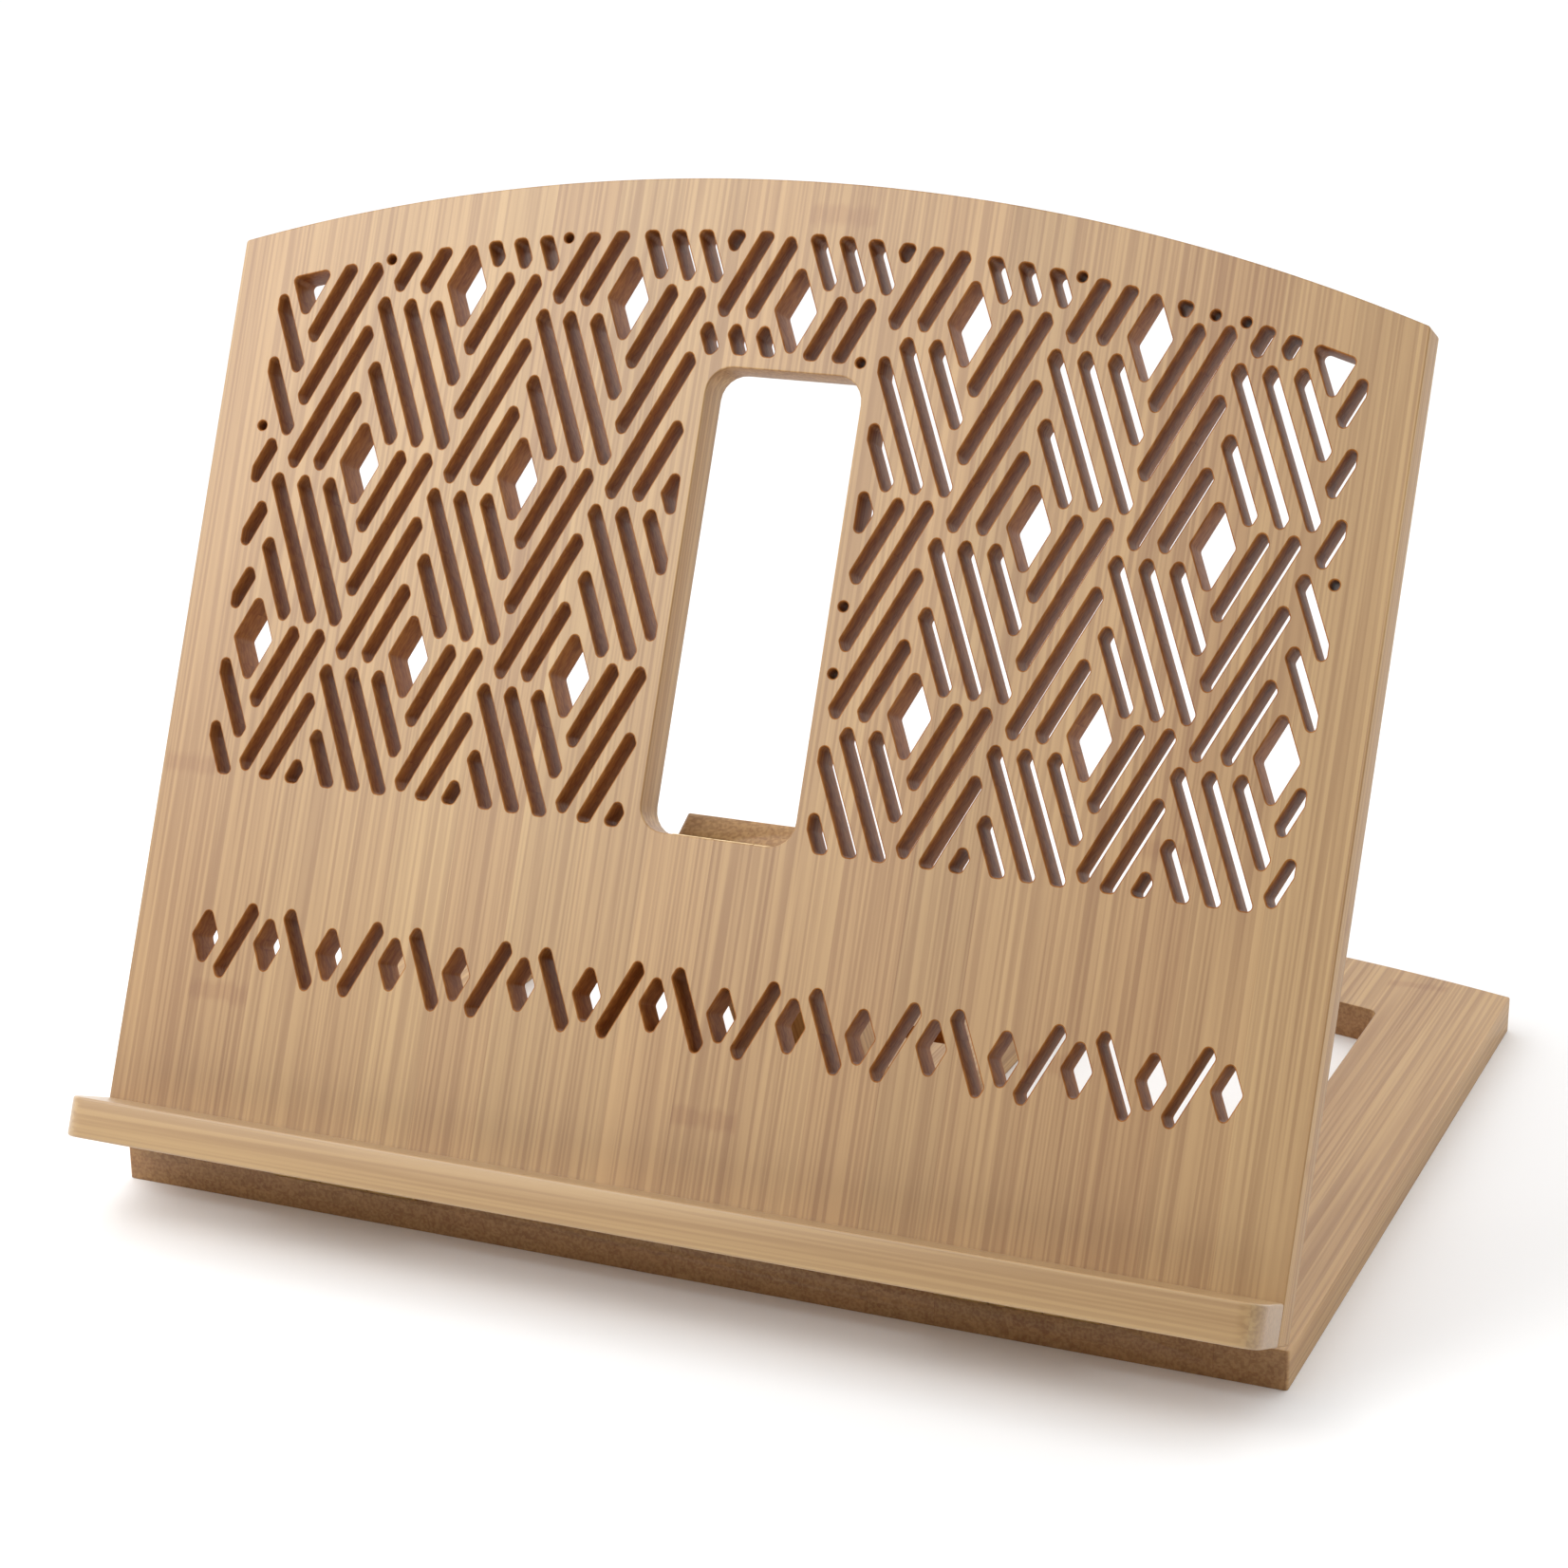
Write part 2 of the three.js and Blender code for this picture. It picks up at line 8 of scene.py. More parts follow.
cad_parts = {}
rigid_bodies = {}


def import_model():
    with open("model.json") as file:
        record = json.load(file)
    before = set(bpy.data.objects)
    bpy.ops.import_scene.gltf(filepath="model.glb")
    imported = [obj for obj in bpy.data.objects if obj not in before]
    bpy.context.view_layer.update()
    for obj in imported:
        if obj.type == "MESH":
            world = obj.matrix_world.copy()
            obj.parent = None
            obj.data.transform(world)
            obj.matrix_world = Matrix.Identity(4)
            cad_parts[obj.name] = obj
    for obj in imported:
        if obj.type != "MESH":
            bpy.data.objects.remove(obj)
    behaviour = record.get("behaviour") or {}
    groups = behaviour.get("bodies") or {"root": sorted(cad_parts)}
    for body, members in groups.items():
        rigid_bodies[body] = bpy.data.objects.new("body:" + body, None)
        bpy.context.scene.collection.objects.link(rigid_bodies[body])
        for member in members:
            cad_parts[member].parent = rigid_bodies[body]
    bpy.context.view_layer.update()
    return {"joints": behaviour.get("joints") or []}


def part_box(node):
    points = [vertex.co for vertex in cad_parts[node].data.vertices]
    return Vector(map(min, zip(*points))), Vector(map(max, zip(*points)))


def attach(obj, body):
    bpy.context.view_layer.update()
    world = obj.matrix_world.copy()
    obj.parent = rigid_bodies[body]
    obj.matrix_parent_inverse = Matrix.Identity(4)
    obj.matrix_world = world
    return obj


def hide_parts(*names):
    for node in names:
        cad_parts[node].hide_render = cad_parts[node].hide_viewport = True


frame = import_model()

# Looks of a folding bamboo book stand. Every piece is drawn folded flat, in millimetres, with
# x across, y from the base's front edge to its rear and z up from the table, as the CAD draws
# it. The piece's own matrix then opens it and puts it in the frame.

MM = 0.001

# ---------------------------------------------------------------- sizes, in millimetres

base_low, base_high = (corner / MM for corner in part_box("base_frame"))
JOINTS = {joint["name"]: joint for joint in frame["joints"]}

# Both panels, and the gap between them when folded
HALF = (base_high.x - base_low.x) / 2
THICK = base_high.z
REAR = base_high.y - base_low.y
ARC_RISE = 30
ARC_RADIUS = (HALF ** 2 + ARC_RISE ** 2) / (2 * ARC_RISE)
ARC_CENTRE = REAR - ARC_RADIUS
PANEL_GAP = 1.5
BOARD_BACK = THICK + PANEL_GAP
BOARD_FRONT = BOARD_BACK + THICK
TOUCH = 0.3
EASED_EDGE = 0.4
EASED_CORNER = 1.2

# The base's bars, and the grooves for the leg's foot
SIDE_BAR = 40
END_BAR = 40
CENTRE_BAR = 80
CUTOUT_CORNER = 4
GROOVE_LENGTH = 48
GROOVE_WIDTH = 11
GROOVE_DEPTH = 5
GROOVE_STARTS = (111.5, 172.5)

# The board's opening and the leg that folds into it
OPENING_HALF_WIDTH = 25
OPENING_BOTTOM = 118
OPENING_TOP = 258.5
OPENING_CORNER = 8
LEG_WIDTH = 44
LEG_SETBACK = 4.4
LEG_LENGTH = 120.5
EASED_LEG_CORNER = 1.0

LEDGE_HEIGHT = 12.5
LEDGE_DEPTH = 25
LEDGE_CORNER = 7
LEDGE_BACK_CORNER = 0.9
LEDGE_EASING = 0.81
GLUE_LINE = 0.05

# Hinges: leaves, their curled knuckles and their pins
LEAF_THICK = 1.2
LEAF_PROUD = 0.3
LEAF_WIDTH = 20
LEAF_SETBACK = 2.6
LEAF_NEAR_CORNER = 0.3
LEAF_FAR_CORNER = 1.5
LEAF_EASING = 0.2
LEAF_SCREW_SPREAD = 0.3
BED_PLAY = 0.05
KNUCKLE_RADIUS = 2.2
KNUCKLE_EASING = 0.12
CURL_LEAD = 1.4
CURL_SWEEP = math.radians(270)
STRIP_THINNING = 0.1
PIN_RADIUS = 0.95
PIN_PLAY = 0.05
PIN_DOME = 0.35
PIN_DOME_ANGLES = (0, 0.4, 0.8, 1.2)
BASE_HINGE_X = 110
BASE_HINGE_LENGTH = 50
LEG_HINGE_LENGTH = 40

SCREW_HEAD_RADIUS = 2.8
SCREW_CORE_RADIUS = 1.3
SCREW_HEAD_DEPTH = 1.5
# (in from the head's radius, down from its face) of the points that round its rim
SCREW_RIM = ((0.05, 0.25), (0, 0.15), (0.12, 0))
SCREW_NECK = 0.6
SCREW_TIP = 1.2
SCREW_TIP_SHARE = 0.35
SCREW_ROOT_SHARE = 0.78
SCREW_THREAD_START = 1.8
SCREW_THREAD_PITCH = 1.2
SCREW_THREAD_CREST = (0.45, 0.55)
SCREW_PLAY = 0.1
# Degrees that a screw is turned for each millimetre along x and y
SCREW_TWIST = (23, 7)
RECESS_REACH = 1.35
RECESS_HALF_WIDTH = 0.24
RECESS_DEPTH = 0.85
LEAF_SCREW_LENGTH = 9.5
LEDGE_SCREW_LENGTH = 25
LEDGE_SCREW_X = (-165, -45, 45, 165)

# The lattice: rows of diamonds with slots between them, as (bottom, top) from a diamond's centre
SLOPE = 20 / 9.17
SLOT_WIDTH = 4.2
TOOL_RADIUS = 1.5
SMALLEST_HOLE_RADIUS = 0.3
DIAMOND_HALF_WIDTH = 6.7
DIAMOND_PITCH = 55
ROW_PITCH = 57.9
LOWEST_ROW = 161
ROW_COUNT = 4
COLUMN_REACH = 4
FIRST_SLOT_DROP = 28
SLOT_DROP_STEP = 20
FALLING_SLOTS = ((-30.6, -5.9), (-50.6, -5.9), (-50.6, -5.9), (-50.6, -26.4))
RISING_SLOTS = ((-20.6, 4.6), (-40.6, 4.6), (-60.6, -15.4), (-60.6, -36.4))
LATTICE_MARGIN_SIDE = 15.3
LATTICE_MARGIN_TOP = 16
LATTICE_BOTTOM = 118
OPENING_MARGIN = 4
OPENING_CHAMFER = 4.5

# The band of diamonds and slots below the lattice
BAND_CENTRE = 67
BAND_HALF_HEIGHT = 11.5
BAND_PITCH = 22
BAND_DIAMONDS = 16
BAND_DIAMOND_HALF_WIDTH = 4.6

# How finely curves are drawn
ARC_STEP = math.radians(15)
SHORTEST_EDGE = 0.02
RIM_STEPS = 64
CUTOUT_ARC_STEPS = 16
DOT_SIDES = 24
ROUND_SIDES = 32
EASING_STEPS = 3
LEAD_STEPS = 8
CURL_STEPS = 28
SHARP_ANGLE = math.radians(35)

QUARTER_TURN = math.pi / 2
FULL_TURN = 2 * math.pi

# ---------------------------------------------------------------- where each body's pieces go


def shift(x, y, z):
    return Matrix.Translation((x, y, z))


def turn_x(point, angle):
    return Matrix.Translation(point) @ Matrix.Rotation(angle, 4, "X") @ Matrix.Translation(-point)


board_axis = Vector(JOINTS["board_fold"]["pos_m"])
board_turn = math.radians(JOINTS["board_fold"]["range_deg"][1])
leg_turn = -math.radians(JOINTS["leg_fold"]["range_deg"][1])
opened_leg_axis = Vector(JOINTS["leg_fold"]["pos_m"])
leg_axis = turn_x(board_axis, -board_turn) @ opened_leg_axis

PLACE = {"base": shift(0, base_low.y * MM, 0)}
PLACE["board"] = turn_x(board_axis, board_turn) @ PLACE["base"]
PLACE["leg"] = turn_x(board_axis, board_turn) @ turn_x(leg_axis, leg_turn) @ PLACE["base"]

# The two hinge axes as (y, z) in the folded drawing
BOARD_AXIS = (board_axis.y / MM - base_low.y, board_axis.z / MM)
LEG_AXIS = (leg_axis.y / MM - base_low.y, leg_axis.z / MM)

# ---------------------------------------------------------------- plane outlines


def arc(cx, cy, radius, start, end, steps):
    angles = (start + (end - start) * i / steps for i in range(steps + 1))
    return [Vector((cx + radius * math.cos(a), cy + radius * math.sin(a))) for a in angles]


def steps_for(angle):
    return max(1, math.ceil(abs(angle) / ARC_STEP))


def rectangle(x0, x1, y0, y1):
    return [Vector((x0, y0)), Vector((x1, y0)), Vector((x1, y1)), Vector((x0, y1))]


def rounded_rectangle(x0, x1, y0, y1, radius):
    centres = (
        (x1 - radius, y0 + radius),
        (x1 - radius, y1 - radius),
        (x0 + radius, y1 - radius),
        (x0 + radius, y0 + radius),
    )
    points = []
    for i, (cx, cy) in enumerate(centres):
        start = (i - 1) * QUARTER_TURN
        points += arc(cx, cy, radius, start, start + QUARTER_TURN, steps_for(QUARTER_TURN))
    return points


def round_corners(points, radii):
    """Rounds each corner of a counter-clockwise outline by its own radius; 0 leaves it."""
    rounded = []
    for i, point in enumerate(points):
        radius = radii[i]
        if not radius:
            rounded.append(point)
            continue
        back = (points[i - 1] - point).normalized()
        ahead = (points[(i + 1) % len(points)] - point).normalized()
        half_angle = back.angle(ahead) / 2
        middle = point + (back + ahead).normalized() * radius / math.sin(half_angle)
        start = point + back * radius / math.tan(half_angle) - middle
        turn = math.pi - 2 * half_angle
        if back.x * ahead.y - back.y * ahead.x > 0:
            turn = -turn
        begin = math.atan2(start.y, start.x)
        rounded += arc(middle.x, middle.y, radius, begin, begin + turn, steps_for(turn))
    return rounded


def panel_outline():
    """The shape shared by the board and the base: a rectangle with an arched far edge."""
    side_angle = math.asin(HALF / ARC_RADIUS)
    start, end = QUARTER_TURN - side_angle, QUARTER_TURN + side_angle
    rim = arc(0, ARC_CENTRE, ARC_RADIUS, start, end, RIM_STEPS)
    corners = [Vector((-HALF, 0)), Vector((HALF, 0)), *rim]
    radii = [EASED_CORNER * (i in (0, 1, 2, len(corners) - 1)) for i in range(len(corners))]
    return round_corners(corners, radii)


def clip(points, nx, ny, limit):
    """The part of a convex polygon where nx * x + ny * y is at most limit."""
    kept = []
    for i, point in enumerate(points):
        following = points[(i + 1) % len(points)]
        here = nx * point.x + ny * point.y - limit
        there = nx * following.x + ny * following.y - limit
        if here <= 0:
            kept.append(point)
        if (here < 0) != (there < 0):
            kept.append(point.lerp(following, here / (here - there)))
    return kept


def outward_normal(start, end):
    return Vector((end.y - start.y, start.x - end.x)).normalized()


def inset(points, distance):
    """A convex polygon with every edge moved in by distance."""
    rest = points
    for i, point in enumerate(points):
        normal = outward_normal(point, points[(i + 1) % len(points)])
        rest = clip(rest, normal.x, normal.y, normal.dot(point) - distance)
    return rest


def without_short_edges(points):
    pairs = zip(points, points[1:] + points[:1])
    return [point for point, following in pairs if (following - point).length > SHORTEST_EDGE]


def routed_hole(points):
    """What a round cutter leaves of a convex polygon: a dot if it only just fits, or None."""
    core = without_short_edges(inset(points, TOOL_RADIUS))
    if len(core) < 3:
        spare = inset(points, SMALLEST_HOLE_RADIUS)
        if len(spare) < 3:
            return None
        middle = sum(spare, Vector((0, 0))) / len(spare)
        return arc(middle.x, middle.y, TOOL_RADIUS, 0, FULL_TURN, DOT_SIDES)[:-1]
    hole = []
    for i, point in enumerate(core):
        before = outward_normal(core[i - 1], point)
        after = outward_normal(point, core[(i + 1) % len(core)])
        start = math.atan2(before.y, before.x)
        turn = (math.atan2(after.y, after.x) - start) % FULL_TURN
        hole += arc(point.x, point.y, TOOL_RADIUS, start, start + turn, steps_for(turn))
    return hole


def diamond(cx, cy, half_width):
    half_height = half_width * SLOPE
    corners = ((0, -half_height), (half_width, 0), (0, half_height), (-half_width, 0))
    return [Vector((cx + dx, cy + dy)) for dx, dy in corners]


def slot(cx, cy, side, bottom, top):
    """A slot whose middle line passes through (cx, cy), leaning right (1) or left (-1).

    Its ends are cut along the slots that lean the other way.
    """
    span = SLOT_WIDTH * math.hypot(1, SLOPE) / (4 * SLOPE)
    end = Vector((side, -SLOPE)) * span
    low = Vector((cx + side * (bottom - cy) / SLOPE, bottom))
    high = Vector((cx + side * (top - cy) / SLOPE, top))
    corners = [low + end, high + end, high - end, low - end]
    return corners if side > 0 else corners[::-1]


def area(points):
    pairs = zip(points, points[1:] + points[:1])
    return sum(a.x * b.y - b.x * a.y for a, b in pairs) / 2


def clip_to_margins(points):
    """Keeps what is inside the lattice's straight sides and its arched top."""
    middle = sum(point.x for point in points) / len(points)
    limit = HALF - LATTICE_MARGIN_SIDE
    nx = middle / ARC_RADIUS
    ny = math.sqrt(1 - nx ** 2)
    rim = ny * ARC_CENTRE + ARC_RADIUS - LATTICE_MARGIN_TOP
    rest = clip(clip(points, 1, 0, limit), -1, 0, limit)
    return clip(clip(rest, 0, -1, -LATTICE_BOTTOM), nx, ny, rim)


def clip_around_opening(points):
    """Keeps the largest part of a lattice hole that is beside or above the opening."""
    side = OPENING_HALF_WIDTH + OPENING_MARGIN
    top = OPENING_TOP + OPENING_MARGIN
    slope = math.sqrt(0.5)
    slant = (side + top - OPENING_CHAMFER) * slope
    parts = [
        clip(points, -1, 0, -side),
        clip(points, 1, 0, -side),
        clip(points, 0, -1, -top),
        clip(points, -slope, -slope, -slant),
        clip(points, slope, -slope, -slant),
    ]
    return max(parts, key=area)


def lattice_holes():
    """Rows of diamonds, with fans of slots below each that fall to the left and to the right."""
    polygons = []
    for row in range(ROW_COUNT):
        cy = LOWEST_ROW + row * ROW_PITCH
        for column in range(-COLUMN_REACH, COLUMN_REACH + 1):
            cx = (column + (row % 2) / 2) * DIAMOND_PITCH
            polygons.append(diamond(cx, cy, DIAMOND_HALF_WIDTH))
            for side, slots in ((-1, FALLING_SLOTS), (1, RISING_SLOTS)):
                for i, (bottom, top) in enumerate(slots):
                    drop = FIRST_SLOT_DROP + i * SLOT_DROP_STEP
                    polygons.append(slot(cx, cy - drop, side, cy + bottom, cy + top))
    inside = [clip_to_margins(points) for points in polygons]
    clipped = [clip_around_opening(points) for points in inside if len(points) > 2]
    holes = [routed_hole(points) for points in clipped if len(points) > 2]
    return [hole for hole in holes if hole]


def band_holes():
    """One row of small diamonds with a slot between each two, leaning by turns."""
    bottom = BAND_CENTRE - BAND_HALF_HEIGHT
    top = BAND_CENTRE + BAND_HALF_HEIGHT
    polygons = []
    for i in range(BAND_DIAMONDS):
        cx = (i - (BAND_DIAMONDS - 1) / 2) * BAND_PITCH
        polygons.append(diamond(cx, BAND_CENTRE, BAND_DIAMOND_HALF_WIDTH))
        if i < BAND_DIAMONDS - 1:
            side = -1 if i % 2 else 1
            polygons.append(slot(cx + BAND_PITCH / 2, BAND_CENTRE, side, bottom, top))
    return [routed_hole(points) for points in polygons]


# ---------------------------------------------------------------- materials

# Linear colours
BAMBOO_LIGHT = (0.53, 0.335, 0.143)
BAMBOO_DARK = (0.265, 0.128, 0.041)
LEDGE_LIGHT = (0.50, 0.33, 0.145)
LEDGE_DARK = (0.32, 0.183, 0.070)
BRASS_CLEAN = (0.66, 0.47, 0.20)
BRASS_DULL = (0.44, 0.29, 0.12)
FLOOR_WHITE = (0.96, 0.96, 0.96)

# What a bamboo colour is multiplied by
GLUE_TINT = (0.72, 0.58, 0.44)
NODE_TINT = (0.80, 0.68, 0.58)
PINK_TINT = (1.04, 0.96, 0.93)
# Painted shade: the walls of routed slots, grooves, pockets and screw holes are darkened to a
# deeper brown
ROUTED_WALL_SHADE = (0.78, 0.52, 0.30)
# Base end grain: real end-grain darkening plus painted shade for its front edge under the ledge
BASE_ENDS_SHADE = (0.68, 0.57, 0.47)
DARK_ENDS = (0.74, 0.65, 0.56)
PALE_ENDS = (1.0, 0.97, 0.92)
WHITE = (1, 1, 1)


class Shader:
    """A material whose nodes are added one call at a time."""

    def __init__(self, name):
        self.material = bpy.data.materials.new(name)
        self.material.use_nodes = True
        self.tree = self.material.node_tree
        self.surface = self.tree.nodes["Principled BSDF"]

    def put(self, socket, value):
        if isinstance(value, bpy.types.NodeSocket):
            self.tree.links.new(value, socket)
        elif isinstance(value, tuple) and socket.type == "RGBA":
            socket.default_value = (*value, 1)
        else:
            socket.default_value = value

    def add(self, kind, inputs, output=0, **settings):
        node = self.tree.nodes.new("ShaderNode" + kind)
        for name, value in settings.items():
            setattr(node, name, value)
        for key, value in inputs.items():
            self.put(node.inputs[key], value)
        return node.outputs[output]

    def math(self, operation, *values, clamp=False):
        inputs = dict(enumerate(values))
        return self.add("Math", inputs, operation=operation, use_clamp=clamp)

    def mix(self, factor, a, b, mode="MIX"):
        inputs = {0: factor, 6: a, 7: b}
        return self.add("Mix", inputs, output=2, data_type="RGBA", blend_type=mode)

    def remap(self, value, low, high, to_low=0.0, to_high=1.0):
        inputs = {0: value, 1: low, 2: high, 3: to_low, 4: to_high}
        return self.add("MapRange", inputs, interpolation_type="SMOOTHSTEP")

    def noise(self, vector, scale, detail=2.0, roughness=0.5):
        inputs = {"Vector": vector, "Scale": scale, "Detail": detail, "Roughness": roughness}
        return self.add("TexNoise", inputs)

    def finish(self, **surface):
        for name, value in surface.items():
            self.put(self.surface.inputs[name.replace("_", " ")], value)
        return self.material


# How often the bamboo repeats, in metres
STRIP_WIDTH = 0.021
PLY = 0.0042
NODE_PITCH = 0.27
SEED_PER_PLY = 17.0

# Layers of grain: scale per metre, how much it varies along the strip, detail, and weight
WIDE_GRAIN = (90, 0.02, 1.0, 0.14)
STRIPES = (380, 0.012, 1.0, 0.22)
LINES = (950, 0.008, 0.0, 0.34)
FIBRES = (2200, 0.02, 2.0, 0.1)
STRIP_TONE_WEIGHT = 0.2

# How much of a strip's width its glue line takes, and how dark it is
GLUE_SHARE = 0.018
GLUE_STRENGTH = 0.8

# How many strips show node marks, and how dark they are
NODE_THRESHOLD = 0.55
NODE_STRENGTH = 0.55

# Oiled faces have a soft clear coat, and routed walls are dull
COAT_ROUGHNESS = 0.38
DRY_SPECULAR = 0.4
DULL_SPECULAR = 0.15


def bamboo(
    name,
    light=BAMBOO_LIGHT,
    dark=BAMBOO_DARK,
    shade_tint=WHITE,
    ends=DARK_ENDS,
    across_x=True,
    seed=0.0,
    coat=1.0,
    specular=0.5,
):
    """Laminated bamboo: strips side by side, fine fibres along them and faint node marks."""
    shader = Shader(name)
    coordinates = shader.add("TexCoord", {}, output=3)
    normal = shader.add("TexCoord", {}, output=1)
    axes = shader.add("SeparateXYZ", {0: coordinates}).node.outputs
    across, along = (axes[0], axes[1]) if across_x else (axes[1], axes[0])
    depth = axes[2]

    strip = shader.math("FLOOR", shader.math("DIVIDE", across, STRIP_WIDTH))
    layer = shader.math("FLOOR", shader.math("DIVIDE", depth, PLY))
    strip_id = shader.math("ADD", shader.math("MULTIPLY_ADD", layer, SEED_PER_PLY, strip), seed)
    tone = shader.add("TexWhiteNoise", {"W": strip_id}, noise_dimensions="1D")
    other_id = shader.math("ADD", strip_id, 0.37)
    hue = shader.add("TexWhiteNoise", {"W": other_id}, noise_dimensions="1D")

    def stretched(stretch):
        """Coordinates along the grain, moved for each strip so that no two look alike."""
        parts = {0: across, 1: shader.math("MULTIPLY", along, stretch), 2: depth}
        joined = shader.add("CombineXYZ", parts)
        moved = shader.math("MULTIPLY", tone, 0.9)
        return shader.add("VectorMath", {0: joined, 1: shader.add("CombineXYZ", {1: moved})})

    def grain(layer, roughness=0.5):
        scale, stretch, detail, weight = layer
        return shader.noise(stretched(stretch), scale, detail, roughness), weight

    wide, wide_weight = grain(WIDE_GRAIN)
    stripes, stripe_weight = grain(STRIPES)
    lines, line_weight = grain(LINES)
    fibres, fibre_weight = grain(FIBRES, roughness=0.6)

    pattern = shader.math("MULTIPLY", shader.remap(wide, 0.35, 0.65), wide_weight)
    pattern = shader.math("MULTIPLY_ADD", tone, STRIP_TONE_WEIGHT, pattern)
    stripes = shader.remap(stripes, 0.34, 0.66)
    pattern = shader.math("MULTIPLY_ADD", stripes, stripe_weight, pattern)
    lines = shader.remap(lines, 0.38, 0.62)
    pattern = shader.math("MULTIPLY_ADD", lines, line_weight, pattern)
    pattern = shader.math("MULTIPLY_ADD", fibres, fibre_weight, pattern)
    colour = shader.mix(pattern, light, dark)

    # A thin darker line where two strips are glued
    beside = shader.math("FRACT", shader.math("DIVIDE", across, STRIP_WIDTH))
    joint = shader.remap(beside, 0.0, GLUE_SHARE, 1.0, 0.0)
    joint = shader.math("MULTIPLY", joint, shader.math("MULTIPLY", hue, GLUE_STRENGTH))
    colour = shader.mix(joint, colour, shader.mix(1.0, colour, GLUE_TINT, "MULTIPLY"))

    # Some strips are pinker, some yellower
    pink = shader.mix(0.5, colour, PINK_TINT, "MULTIPLY")
    colour = shader.mix(hue, pink, colour)

    # A node of the cane crosses a strip here and there as a soft brown dash
    phase = shader.math("ADD", shader.math("DIVIDE", along, NODE_PITCH), hue)
    phase = shader.math("ABSOLUTE", shader.math("SUBTRACT", shader.math("FRACT", phase), 0.5))
    ripple = shader.math("SUBTRACT", shader.noise(stretched(0.5), 260, 2.0), 0.5)
    ripple = shader.math("MULTIPLY_ADD", ripple, 0.02, phase)
    mark = shader.remap(ripple, 0.004, 0.016, 1.0, 0.0)
    chosen = shader.math("GREATER_THAN", tone, NODE_THRESHOLD)
    mark = shader.math("MULTIPLY", shader.math("MULTIPLY", mark, chosen), NODE_STRENGTH)
    colour = shader.mix(mark, colour, shader.mix(1.0, colour, NODE_TINT, "MULTIPLY"))

    # End grain is darker, differs from strip to strip, and has the dots of cut fibres; the base's
    # ends colour adds painted shade as well
    facing = shader.add("SeparateXYZ", {0: normal}, output=1 if across_x else 0)
    facing = shader.remap(shader.math("ABSOLUTE", facing), 0.6, 0.95)
    dots = shader.remap(shader.noise(coordinates, 2200, 2.0), 0.4, 0.65, 0.0, 0.16)
    dots = shader.math("MULTIPLY_ADD", tone, 0.3, dots)
    dotted = shader.mix(dots, ends, WHITE)
    colour = shader.mix(facing, colour, shader.mix(1.0, colour, dotted, "MULTIPLY"))
    # Painted shade: the walls of routed holes are multiplied by a darker tint
    if shade_tint != WHITE:
        colour = shader.mix(1.0, colour, shade_tint, "MULTIPLY")

    gloss = shader.math("MULTIPLY_ADD", fibres, 0.16, 0.42)
    bump = shader.add("Bump", {"Strength": 0.12, "Distance": 0.0004, "Height": fibres})
    return shader.finish(
        Base_Color=colour,
        Roughness=gloss,
        Normal=bump,
        Specular_IOR_Level=specular,
        Coat_Weight=coat,
        Coat_Roughness=COAT_ROUGHNESS,
    )


def brass(name):
    """Brass-plated steel with a faint brushed grain and duller patches."""
    shader = Shader(name)
    coordinates = shader.add("TexCoord", {}, output=3)
    stretch = {"Vector": coordinates, "Scale": (1, 0.04, 1)}
    brushed = shader.noise(shader.add("Mapping", stretch), 4200, 3.0, 0.6)
    patches = shader.noise(coordinates, 260, 3.0, 0.55)
    dull = shader.remap(patches, 0.42, 0.68)
    colour = shader.mix(dull, BRASS_CLEAN, BRASS_DULL)
    gloss = shader.math("MULTIPLY_ADD", brushed, 0.22, 0.2)
    gloss = shader.math("MULTIPLY_ADD", dull, 0.12, gloss)
    bump = shader.add("Bump", {"Strength": 0.1, "Distance": 0.0001, "Height": brushed})
    return shader.finish(Base_Color=colour, Metallic=1.0, Roughness=gloss, Normal=bump)


# Each panel's routed material carries painted shade on its walls
PANEL_FINISH = [
    bamboo("bamboo_face"),
    bamboo("bamboo_edge", coat=0.1),
    bamboo("bamboo_routed", shade_tint=ROUTED_WALL_SHADE, coat=0.0, specular=DULL_SPECULAR),
]
BASE_FINISH = [
    bamboo("base_bamboo_face", seed=40.0, coat=0.0, specular=DRY_SPECULAR),
    # The base's edges darken their end grain further as painted shade
    bamboo("base_bamboo_edge", ends=BASE_ENDS_SHADE, seed=40.0, coat=0.1),
    bamboo("base_bamboo_routed", shade_tint=ROUTED_WALL_SHADE, seed=40.0, coat=0.0, specular=DULL_SPECULAR),
]
LEG_FINISH = [bamboo("leg_bamboo", ends=PALE_ENDS, seed=80.0, coat=0.2)]
LEDGE_FINISH = [bamboo("ledge_bamboo", LEDGE_LIGHT, LEDGE_DARK, across_x=False, seed=120.0)]
BRASS_FINISH = [brass("brass")]

# ---------------------------------------------------------------- meshes


def offset_loop(points, distance):
    """Moves a loop to its left by distance: into the wood, since wood lies on a loop's left."""
    moved = []
    for i, point in enumerate(points):
        before = outward_normal(points[i - 1], point)
        after = outward_normal(point, points[(i + 1) % len(points)])
        mitre = before + after
        moved.append(point - mitre * 2 * distance / mitre.length_squared)
    return moved


def eased_profile(z0, z1, radius):
    """(inset, height) of each ring of a wall with rounded edges, from its top to its bottom."""
    turns = [i / EASING_STEPS * QUARTER_TURN for i in range(EASING_STEPS + 1)]
    curve = [(radius * (1 - math.sin(a)), radius * (1 - math.cos(a))) for a in turns]
    top = [(near, z1 - drop) for near, drop in curve]
    return top + [(near, z0 + drop) for near, drop in reversed(curve)]


